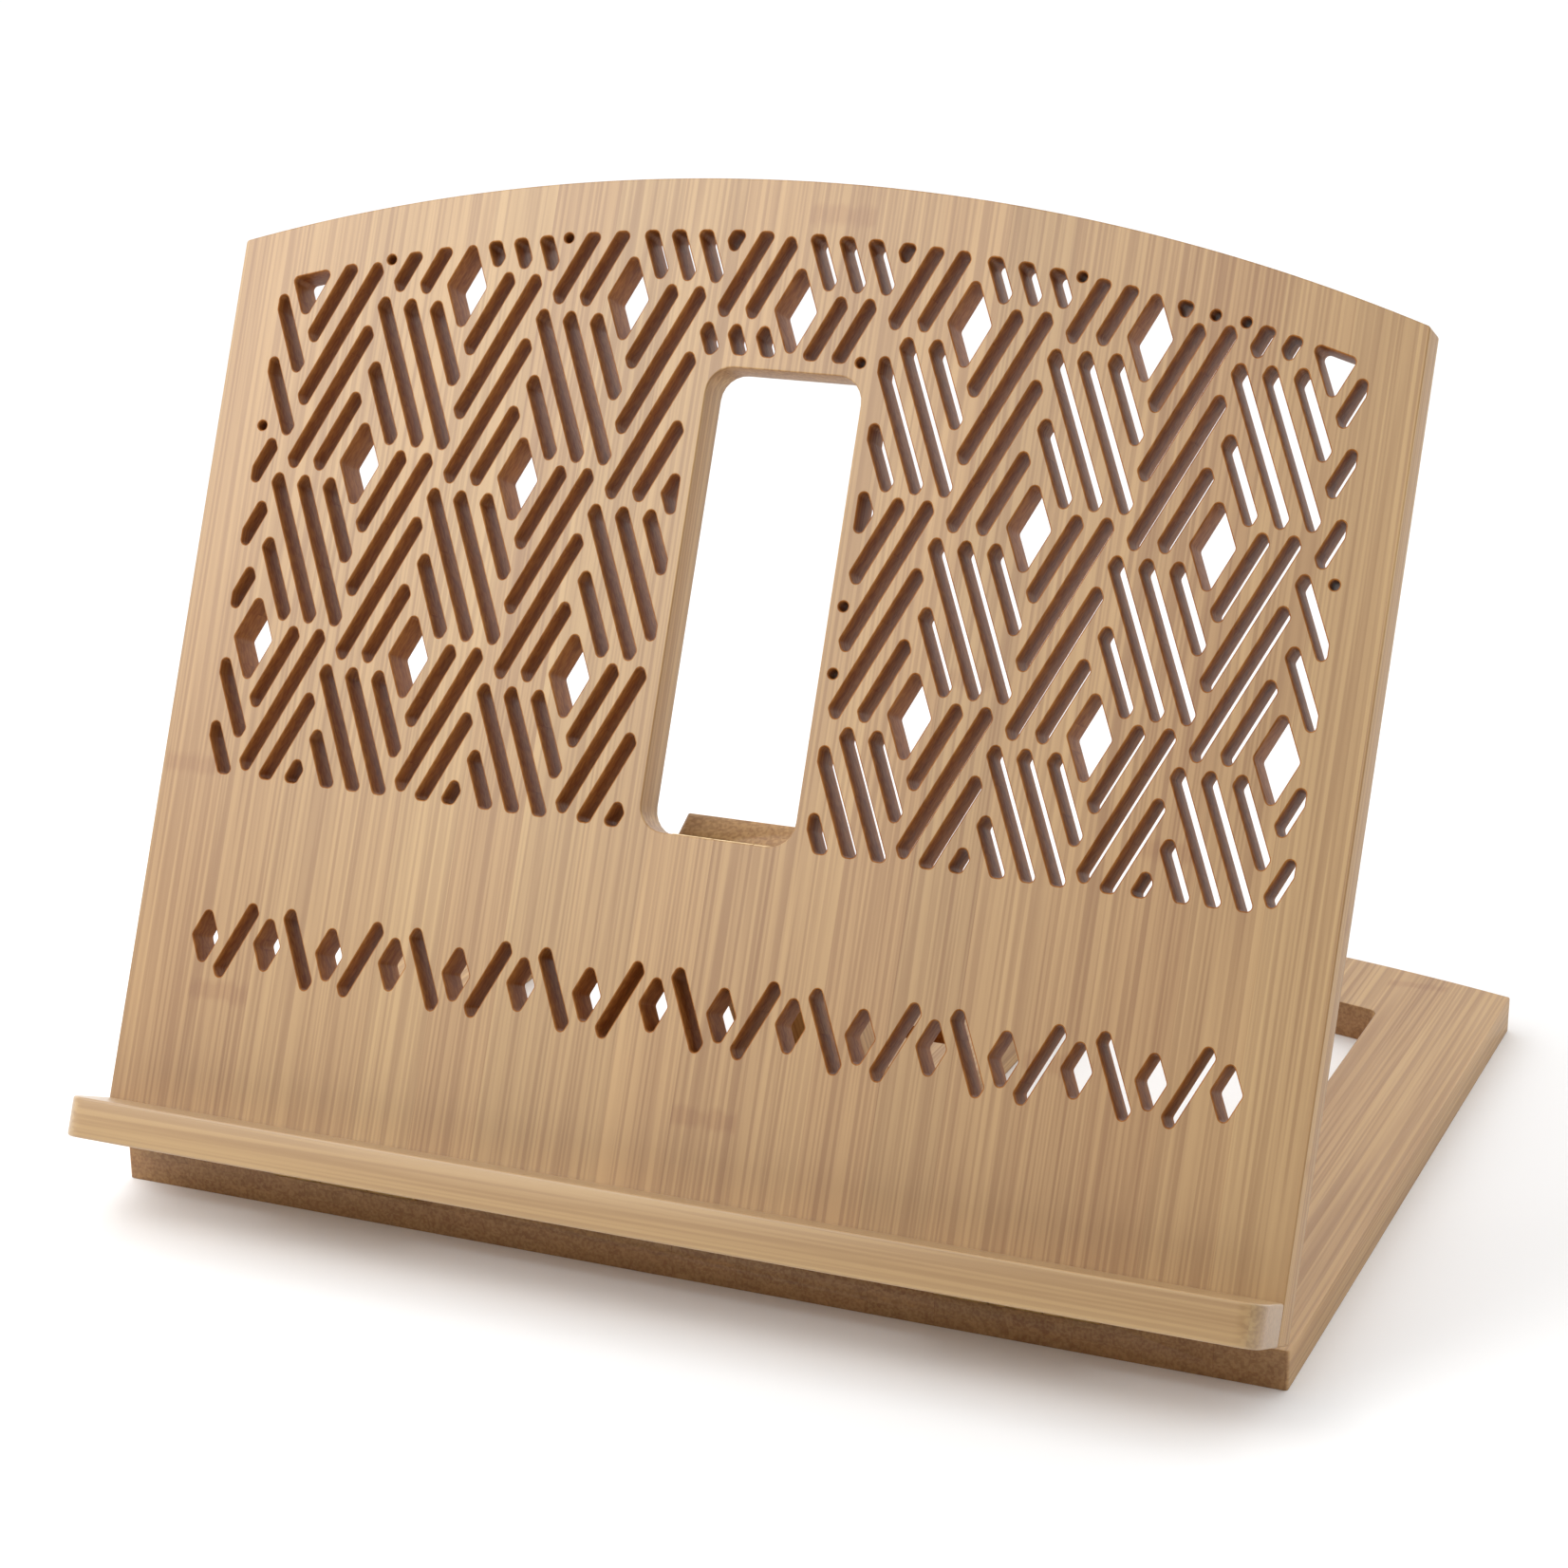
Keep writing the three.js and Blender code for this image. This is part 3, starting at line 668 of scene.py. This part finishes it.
def fill(loops):
    """Triangles inside the first loop and outside all the others, its holes."""
    points = [point for loop in loops for point in loop]
    rings = []
    start = 0
    for loop in loops:
        rings.append(list(range(start, start + len(loop))))
        start += len(loop)
    outlines = [rings[0]] + [ring[::-1] for ring in rings[1:]]
    result = delaunay_2d_cdt(points, [], outlines, 1, 1e-6)
    triangles, origins, owners = result[2], result[3], result[5]
    # A triangle in a hole belongs to the hole's outline as well as to the first
    kept = [face for face, owner in zip(triangles, owners) if list(owner) == [0]]
    return [[origins[corner][0] for corner in face] for face in kept]


def panel_mesh(name, outline, holes, z0, z1, easing=EASED_EDGE, sawn=0):
    """A flat panel with rounded edges.

    Its faces are in material slot 0, its rim and the walls of its first, sawn holes in slot
    1, and the walls of its routed holes in slot 2.
    """
    loops = [outline] + [hole[::-1] for hole in holes]
    rings = eased_profile(z0, z1, easing)
    count = sum(len(loop) for loop in loops)
    vertices = []
    for near, z in rings:
        for loop in loops:
            vertices += [(p.x * MM, p.y * MM, z * MM) for p in offset_loop(loop, near)]
    faces = []
    slots = []
    start = 0
    for number, loop in enumerate(loops):
        size = len(loop)
        for ring in range(len(rings) - 1):
            upper = ring * count + start
            lower = upper + count
            for i in range(size):
                j = (i + 1) % size
                faces.append((upper + i, lower + i, lower + j, upper + j))
                slots.append(1 if number <= sawn else 2)
        start += size
    walls = len(faces)
    caps = fill([offset_loop(loop, rings[0][0]) for loop in loops])
    last = (len(rings) - 1) * count
    faces += caps
    faces += [[corner + last for corner in reversed(face)] for face in caps]
    slots += [0] * (2 * len(caps))
    mesh = mesh_from(name, vertices, faces)
    mesh.polygons.foreach_set("material_index", slots)
    mesh.polygons.foreach_set("use_smooth", [i < walls for i in range(len(faces))])
    mesh.update()
    return mesh


def mesh_from(name, vertices, faces):
    mesh = bpy.data.meshes.new(name)
    mesh.from_pydata(vertices, [], faces)
    mesh.update()
    return mesh


def lathe_mesh(name, profile):
    """Turns (radius, z) points round z. The profile starts and ends on the axis."""
    vertices = [(0, 0, profile[0][1] * MM)]
    for radius, z in profile[1:-1]:
        for i in range(ROUND_SIDES):
            a = FULL_TURN * i / ROUND_SIDES
            vertices.append((radius * math.cos(a) * MM, radius * math.sin(a) * MM, z * MM))
    vertices.append((0, 0, profile[-1][1] * MM))
    last = len(vertices) - 1
    faces = []
    for i in range(ROUND_SIDES):
        j = (i + 1) % ROUND_SIDES
        faces.append((0, 1 + j, 1 + i))
        for ring in range(len(profile) - 3):
            low = 1 + ring * ROUND_SIDES
            high = low + ROUND_SIDES
            faces.append((low + i, low + j, high + j, high + i))
        faces.append((last - ROUND_SIDES + i, last - ROUND_SIDES + j, last))
    return mesh_from(name, vertices, faces)


def box_mesh(name, x, y, z):
    """A cutter: a plain box between pairs of limits."""
    corners = [(a * MM, b * MM, c * MM) for a in x for b in y for c in z]
    faces = [(0, 1, 3, 2), (4, 6, 7, 5), (0, 4, 5, 1), (2, 3, 7, 6), (0, 2, 6, 4), (1, 5, 7, 3)]
    return mesh_from(name, corners, faces)


def make(name, mesh, finish):
    """Puts a mesh in the scene with its materials, a slot for each."""
    piece = bpy.data.objects.new(name, mesh)
    bpy.context.scene.collection.objects.link(piece)
    for material in finish:
        if material.name not in mesh.materials:
            mesh.materials.append(material)
    return piece


def carve(piece, meshes, operation="DIFFERENCE"):
    """Cuts meshes out of a piece, or joins them to it by UNION.

    The new faces get the piece's last material.
    """
    finish = list(piece.data.materials)
    tools = bpy.data.collections.new("tools")
    bpy.context.scene.collection.children.link(tools)
    for mesh in meshes:
        mesh.polygons.foreach_set("material_index", [len(finish) - 1] * len(mesh.polygons))
        tool = bpy.data.objects.new("tool", mesh)
        for material in finish:
            mesh.materials.append(material)
        tools.objects.link(tool)
    modifier = piece.modifiers.new("carve", "BOOLEAN")
    modifier.operation = operation
    modifier.operand_type = "COLLECTION"
    modifier.collection = tools
    modifier.solver = "EXACT"
    bpy.context.view_layer.update()
    carved = piece.evaluated_get(bpy.context.evaluated_depsgraph_get())
    piece.data = bpy.data.meshes.new_from_object(carved)
    piece.modifiers.clear()
    for tool in list(tools.objects):
        bpy.data.objects.remove(tool)
    bpy.data.collections.remove(tools)


def smooth(mesh):
    """Smooth faces, with sharp edges where the mesh turns by more than SHARP_ANGLE."""
    mesh.polygons.foreach_set("use_smooth", [True] * len(mesh.polygons))
    mesh.set_sharp_from_angle(angle=SHARP_ANGLE)
    return mesh


def all_faces_first_slot(mesh):
    mesh.polygons.foreach_set("material_index", [0] * len(mesh.polygons))
    return mesh


def settle(piece, body, slot_name, *nodes):
    """Moves a piece from the folded drawing to its body's place, and hides the model's parts that
    it stands for.
    """
    piece.matrix_world = PLACE[body] @ piece.matrix_world
    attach(piece, body)
    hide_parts(*nodes)


# ---------------------------------------------------------------- screws


def screw_profile(length):
    """A countersunk wood screw pointing down, head face at z = 0, with ridges for thread."""
    core = SCREW_CORE_RADIUS
    profile = [(0, -length), (core * SCREW_TIP_SHARE, -length + SCREW_TIP)]
    z = -length + SCREW_THREAD_START
    while z < -SCREW_HEAD_DEPTH - 2 * SCREW_THREAD_PITCH:
        profile.append((core * SCREW_ROOT_SHARE, z))
        profile += [(core, z + SCREW_THREAD_PITCH * share) for share in SCREW_THREAD_CREST]
        z += SCREW_THREAD_PITCH
    neck = [(core, -SCREW_HEAD_DEPTH - SCREW_NECK), (core, -SCREW_HEAD_DEPTH)]
    rim = [(SCREW_HEAD_RADIUS - near, -drop) for near, drop in SCREW_RIM]
    face = [(SCREW_HEAD_RADIUS / 2, 0), (0, 0)]
    return profile + neck + rim + face


def screw_mesh(name, length):
    """The screw with its cross recess cut."""
    screw = make(name, lathe_mesh(name, screw_profile(length)), BRASS_FINISH)
    arm = (-RECESS_REACH, RECESS_REACH)
    wall = (-RECESS_HALF_WIDTH, RECESS_HALF_WIDTH)
    recess = (-RECESS_DEPTH, RECESS_DEPTH)
    carve(screw, [box_mesh("recess", arm, wall, recess), box_mesh("recess", wall, arm, recess)])
    mesh = smooth(screw.data)
    bpy.data.objects.remove(screw)
    return mesh


SCREW_MESHES = {
    length: screw_mesh(f"screw_{length}", length)
    for length in (LEAF_SCREW_LENGTH, LEDGE_SCREW_LENGTH)
}


def screw_place(place):
    """The matrix for a screw's (x, y, z, up): the centre of its head and whether it points up."""
    x, y, z, up = place
    return shift(x * MM, y * MM, z * MM) @ Matrix.Rotation(math.pi if up else 0, 4, "X")


def drive_screw(node, length, place, body):
    """Puts in a screw, which stops at an angle of its own."""
    screw = make(f"{node}_visual", SCREW_MESHES[length].copy(), BRASS_FINISH)
    twist = sum(turn * along for turn, along in zip(SCREW_TWIST, place))
    screw.matrix_world = screw_place(place) @ Matrix.Rotation(math.radians(twist), 4, "Z")
    settle(screw, body, "brass", node)


def screw_hole_mesh(place, length):
    """A cutter that leaves room for a screw, its tip and its countersunk head."""
    core = SCREW_CORE_RADIUS + SCREW_PLAY
    head = SCREW_HEAD_RADIUS + SCREW_PLAY
    profile = [
        (0, -length - TOUCH),
        (core, -length),
        (core, -SCREW_HEAD_DEPTH),
        (head, -SCREW_PLAY),
        (head, 1),
        (0, 1),
    ]
    mesh = lathe_mesh("screw_hole", profile)
    mesh.transform(screw_place(place))
    return mesh


# ---------------------------------------------------------------- hinges


class Hinge:
    """A butt hinge with its pin along x, its leaves let into the panels above and below."""

    def __init__(self, name, x, axis, length):
        self.name = name
        self.x = x
        self.y, self.z = axis
        self.length = length
        self.x_limits = (x - length / 2, x + length / 2)

    def plate(self, up):
        """(buried, exposed) heights of a leaf's plate."""
        if up:
            return BOARD_BACK + LEAF_THICK - LEAF_PROUD, BOARD_BACK - LEAF_PROUD
        return THICK - LEAF_THICK + LEAF_PROUD, THICK + LEAF_PROUD

    def screw_places(self, side, up):
        y = self.y + side * (LEAF_SETBACK + LEAF_WIDTH / 2)
        z = self.plate(up)[1]
        reach = LEAF_SCREW_SPREAD * self.length
        return [(self.x + end * reach, y, z, up) for end in (-1, 1)]

    def spans(self, outer):
        """Where along x the knuckles of the outer leaf or of the inner one run."""
        third = self.length / 3
        gap = TOUCH / 2
        start, end = self.x_limits
        if outer:
            return [(start, start + third - gap), (start + 2 * third + gap, end)]
        return [(start + third + gap, start + 2 * third - gap)]


def curl_profile(hinge, side, up):
    """Section of a knuckle in (y, z): a strip that leaves the plate and curls round the pin."""
    bore = PIN_RADIUS + PIN_PLAY
    middle = (KNUCKLE_RADIUS + bore) / 2
    thick = KNUCKLE_RADIUS - bore
    buried, exposed = hinge.plate(up)
    drop = (buried + exposed) / 2 - hinge.z
    sign = 1 if drop > 0 else -1
    height = abs(drop)
    strip = LEAF_THICK - STRIP_THINNING
    start = LEAF_SETBACK + CURL_LEAD
    path = []
    for i in range(LEAD_STEPS):
        t = i / LEAD_STEPS
        ease = t * t * (3 - 2 * t)
        path.append(Vector((start * (1 - t), height + (middle - height) * ease)))
    path += arc(0, 0, middle, QUARTER_TURN, QUARTER_TURN + CURL_SWEEP, CURL_STEPS)
    left, right = [], []
    for i, point in enumerate(path):
        ahead = path[min(i + 1, len(path) - 1)] - path[max(i - 1, 0)]
        normal = Vector((-ahead.y, ahead.x)).normalized()
        share = min(1, i / LEAD_STEPS)
        half = (strip + (thick - strip) * share) / 2
        left.append(point + normal * half)
        right.append(point - normal * half)
    section = left + right[::-1]
    section = [Vector((hinge.y + side * p.x, hinge.z + sign * p.y)) for p in section]
    return section if area(section) > 0 else section[::-1]


def along_x(mesh):
    """Turns a panel mesh drawn in (y, z) and raised along its third axis so that it runs on x."""
    mesh.transform(Matrix(((0, 0, 1, 0), (1, 0, 0, 0), (0, 1, 0, 0), (0, 0, 0, 1))))
    return mesh


def leaf_screw_holes(hinge, side, up):
    places = hinge.screw_places(side, up)
    return [screw_hole_mesh(place, LEAF_SCREW_LENGTH) for place in places]


def hinge_leaf(hinge, side, up, outer, body):
    """A plate with eased corners and countersunk holes, joined to its curled knuckles."""
    node = f"{hinge.name}_{body}_leaf"
    near = hinge.y + side * LEAF_SETBACK
    far = hinge.y + side * (LEAF_SETBACK + LEAF_WIDTH)
    y0, y1 = sorted((near, far))
    low_radius, high_radius = (LEAF_NEAR_CORNER, LEAF_FAR_CORNER)[::side]
    radii = [low_radius, low_radius, high_radius, high_radius]
    outline = round_corners(rectangle(*hinge.x_limits, y0, y1), radii)
    low, high = sorted(hinge.plate(up))
    plate = panel_mesh(node, outline, [], low, high, LEAF_EASING)
    leaf = make(node + "_visual", plate, BRASS_FINISH)
    section = curl_profile(hinge, side, up)
    knuckles = [
        along_x(panel_mesh("knuckle", section, [], start, end, KNUCKLE_EASING))
        for start, end in hinge.spans(outer)
    ]
    carve(leaf, knuckles, "UNION")
    carve(leaf, leaf_screw_holes(hinge, side, up))
    smooth(leaf.data)
    settle(leaf, body, "brass", node)


def leaf_screws(hinge, side, up, body):
    for number, place in enumerate(hinge.screw_places(side, up), 1):
        drive_screw(f"{hinge.name}_{body}_screw_{number}", LEAF_SCREW_LENGTH, place, body)


def hinge_pin(hinge, body):
    """A pin with low domed ends that just stand out of the knuckles."""
    node = hinge.name + "_pin"
    half = hinge.length / 2 + TOUCH
    ends = []
    for a in PIN_DOME_ANGLES:
        ends.append((PIN_RADIUS * math.cos(a), half - PIN_DOME + PIN_DOME * math.sin(a)))
    profile = [(0, -half)] + [(r, -z) for r, z in reversed(ends)] + ends + [(0, half)]
    pin = make(node + "_visual", smooth(lathe_mesh(node, profile)), BRASS_FINISH)
    turn = Matrix.Rotation(QUARTER_TURN, 4, "Y")
    pin.matrix_world = shift(hinge.x * MM, hinge.y * MM, hinge.z * MM) @ turn
    settle(pin, body, "brass", node)


def rod_cutter(x0, x1, y, z, radius):
    mesh = lathe_mesh("rod", [(0, x0), (radius, x0), (radius, x1), (0, x1)])
    mesh.transform(shift(0, y * MM, z * MM) @ Matrix.Rotation(QUARTER_TURN, 4, "Y"))
    return mesh


def leaf_pocket(hinge, side, up):
    """What a leaf takes out of its panel: a shallow bed, a hollow for the knuckles, holes."""
    buried = hinge.plate(up)[0]
    room = TOUCH / 2
    half = hinge.length / 2 + room
    far = hinge.y + side * (LEAF_SETBACK + LEAF_WIDTH + room)
    x = (hinge.x - half, hinge.x + half)
    y = sorted((hinge.y - side * KNUCKLE_RADIUS, far))
    z = (buried - THICK, buried + BED_PLAY) if up else (buried - BED_PLAY, buried + THICK)
    bed = box_mesh("bed", x, y, z)
    hollow = rod_cutter(*x, hinge.y, hinge.z, KNUCKLE_RADIUS + TOUCH)
    return [bed, hollow, *leaf_screw_holes(hinge, side, up)]


base_hinges = [
    Hinge("left_hinge", -BASE_HINGE_X, BOARD_AXIS, BASE_HINGE_LENGTH),
    Hinge("right_hinge", BASE_HINGE_X, BOARD_AXIS, BASE_HINGE_LENGTH),
]
leg_hinge = Hinge("leg_hinge", 0, LEG_AXIS, LEG_HINGE_LENGTH)
ledge_screws = [(x, LEDGE_HEIGHT / 2, BOARD_BACK, True) for x in LEDGE_SCREW_X]

# ---------------------------------------------------------------- panels, ledge and leg


def back_board():
    opening = rounded_rectangle(
        -OPENING_HALF_WIDTH, OPENING_HALF_WIDTH, OPENING_BOTTOM, OPENING_TOP, OPENING_CORNER
    )
    holes = [opening, *lattice_holes(), *band_holes()]
    mesh = panel_mesh("back_board", panel_outline(), holes, BOARD_BACK, BOARD_FRONT, sawn=1)
    board = make("back_board_visual", mesh, PANEL_FINISH)
    pockets = [pocket for hinge in base_hinges for pocket in leaf_pocket(hinge, 1, True)]
    pockets += leaf_pocket(leg_hinge, -1, True)
    pockets += [screw_hole_mesh(place, LEDGE_SCREW_LENGTH) for place in ledge_screws]
    carve(board, pockets)
    settle(board, "board", "bamboo", "back_board")


def base_cutout(side):
    """The opening to the right (1) or left (-1) of the base's middle bar."""
    near = CENTRE_BAR / 2
    far = HALF - SIDE_BAR
    inner = ARC_RADIUS - END_BAR
    start = QUARTER_TURN - math.asin(far / inner)
    end = QUARTER_TURN - math.asin(near / inner)
    rear = arc(0, ARC_CENTRE, inner, start, end, CUTOUT_ARC_STEPS)
    points = [Vector((near, END_BAR)), Vector((far, END_BAR)), *rear]
    corner_places = (0, 1, 2, len(points) - 1)
    radii = [CUTOUT_CORNER * (i in corner_places) for i in range(len(points))]
    if side < 0:
        points = [Vector((-point.x, point.y)) for point in reversed(points)]
        radii.reverse()
    return round_corners(points, radii)


def base_frame():
    cutouts = [base_cutout(-1), base_cutout(1)]
    mesh = panel_mesh("base_frame", panel_outline(), cutouts, 0, THICK, sawn=2)
    base = make("base_frame_visual", mesh, BASE_FINISH)
    x = (-GROOVE_LENGTH / 2, GROOVE_LENGTH / 2)
    z = (THICK - GROOVE_DEPTH, THICK + GROOVE_DEPTH)
    cutters = [box_mesh("groove", x, (y, y + GROOVE_WIDTH), z) for y in GROOVE_STARTS]
    for hinge in base_hinges:
        cutters += leaf_pocket(hinge, 1, False)
    carve(base, cutters)
    settle(base, "base", "bamboo", "base_frame")


def ledge():
    """Drawn lying down, with its depth along y, then stood up on the board's face."""
    corners = rectangle(-HALF, HALF, BOARD_FRONT + GLUE_LINE, BOARD_FRONT + LEDGE_DEPTH)
    radii = [LEDGE_BACK_CORNER, LEDGE_BACK_CORNER, LEDGE_CORNER, LEDGE_CORNER]
    outline = round_corners(corners, radii)
    mesh = panel_mesh("ledge", outline, [], -LEDGE_HEIGHT, 0, LEDGE_EASING)
    mesh.transform(Matrix.Rotation(QUARTER_TURN, 4, "X"))
    piece = make("ledge_visual", all_faces_first_slot(mesh), LEDGE_FINISH)
    carve(piece, [screw_hole_mesh(place, LEDGE_SCREW_LENGTH) for place in ledge_screws])
    settle(piece, "board", "bamboo", "ledge")


def prop_leg():
    start = LEG_AXIS[0] + LEG_SETBACK
    corners = rectangle(-LEG_WIDTH / 2, LEG_WIDTH / 2, start, start + LEG_LENGTH)
    outline = round_corners(corners, [EASED_LEG_CORNER] * 4)
    mesh = panel_mesh("prop_leg", outline, [], BOARD_BACK, BOARD_FRONT)
    leg = make("prop_leg_visual", all_faces_first_slot(mesh), LEG_FINISH)
    carve(leg, leaf_pocket(leg_hinge, 1, True))
    settle(leg, "leg", "bamboo", "prop_leg")


back_board()
base_frame()
ledge()
prop_leg()

for number, place in enumerate(ledge_screws, 1):
    drive_screw(f"ledge_screw_{number}", LEDGE_SCREW_LENGTH, place, "board")
for hinge in base_hinges:
    hinge_leaf(hinge, side=1, up=False, outer=True, body="base")
    hinge_leaf(hinge, side=1, up=True, outer=False, body="board")
    hinge_pin(hinge, "base")
    leaf_screws(hinge, side=1, up=False, body="base")
    leaf_screws(hinge, side=1, up=True, body="board")
hinge_leaf(leg_hinge, side=-1, up=True, outer=True, body="board")
hinge_leaf(leg_hinge, side=1, up=True, outer=False, body="leg")
hinge_pin(leg_hinge, "board")
leaf_screws(leg_hinge, side=-1, up=True, body="board")
leaf_screws(leg_hinge, side=1, up=True, body="leg")

# ---------------------------------------------------------------- floor, light and camera

# In metres, watts and degrees
FLOOR_SIZE = 40.0
SKY_BRIGHT_SIDE = (-0.34, 0.94, 0)
SKY_FRONT = 0.2
SKY_BACK = 1.9
KEY_PLACE = (-0.52, -0.58, 0.78)
KEY_AIM = (0, 0, 0.2)
KEY_SIZE = 0.75
KEY_POWER = 5.9
LENS_LENGTH = 80.287
LENS_SHIFT = (-0.0463, 0.0839)
SENSOR_WIDTH = 36
CAMERA_PLACE = (0.407125, -0.99137, 0.46844)
CAMERA_YAW = 22.193
CAMERA_DIP = 20.531
CAMERA_ROLL = -0.083


def floor():
    half = FLOOR_SIZE / 2
    corners = [(*point, 0) for point in rectangle(-half, half, -half, half)]
    mesh = mesh_from("floor", corners, [(0, 1, 2, 3)])
    finish = Shader("floor").finish(Base_Color=FLOOR_WHITE, Roughness=0.9)
    make("floor", mesh, [finish])


def key_light():
    """A soft panel above and left of the camera, whose gleam whitens the board's top left."""
    light = bpy.data.lights.new("key", "AREA")
    light.size = KEY_SIZE
    light.energy = KEY_POWER
    lamp = bpy.data.objects.new("key", light)
    lamp.visible_camera = False
    bpy.context.scene.collection.objects.link(lamp)
    lamp.location = KEY_PLACE
    aim = Vector(KEY_AIM) - Vector(KEY_PLACE)
    lamp.rotation_euler = aim.to_track_quat("-Z", "Y").to_euler()


def sky():
    """A white studio that is dim in front of the stand and bright above and behind it."""
    world = bpy.data.worlds.new("studio")
    bpy.context.scene.world = world
    world.use_nodes = True
    tree = world.node_tree
    direction = tree.nodes.new("ShaderNodeTexCoord").outputs["Generated"]
    along = tree.nodes.new("ShaderNodeVectorMath")
    along.operation = "DOT_PRODUCT"
    along.inputs[1].default_value = SKY_BRIGHT_SIDE
    tree.links.new(direction, along.inputs[0])
    ramp = tree.nodes.new("ShaderNodeMapRange")
    limits = {"From Min": -1, "From Max": 1, "To Min": SKY_FRONT, "To Max": SKY_BACK}
    for name, value in limits.items():
        ramp.inputs[name].default_value = value
    tree.links.new(along.outputs["Value"], ramp.inputs["Value"])
    background = tree.nodes["Background"]
    background.inputs["Color"].default_value = (1, 1, 1, 1)
    tree.links.new(ramp.outputs["Result"], background.inputs["Strength"])


def camera():
    lens = bpy.data.cameras.new("camera")
    lens.sensor_width = SENSOR_WIDTH
    lens.lens = LENS_LENGTH
    lens.shift_x, lens.shift_y = LENS_SHIFT
    viewer = bpy.data.objects.new("camera", lens)
    bpy.context.scene.collection.objects.link(viewer)
    viewer.location = CAMERA_PLACE
    yaw = Matrix.Rotation(math.radians(CAMERA_YAW), 4, "Z")
    tilt = Matrix.Rotation(math.radians(90 - CAMERA_DIP), 4, "X")
    roll = Matrix.Rotation(math.radians(CAMERA_ROLL), 4, "Z")
    viewer.rotation_euler = (yaw @ tilt @ roll).to_euler()
    bpy.context.scene.camera = viewer


floor()
sky()
key_light()
camera()
bpy.context.scene.view_settings.view_transform = "Standard"
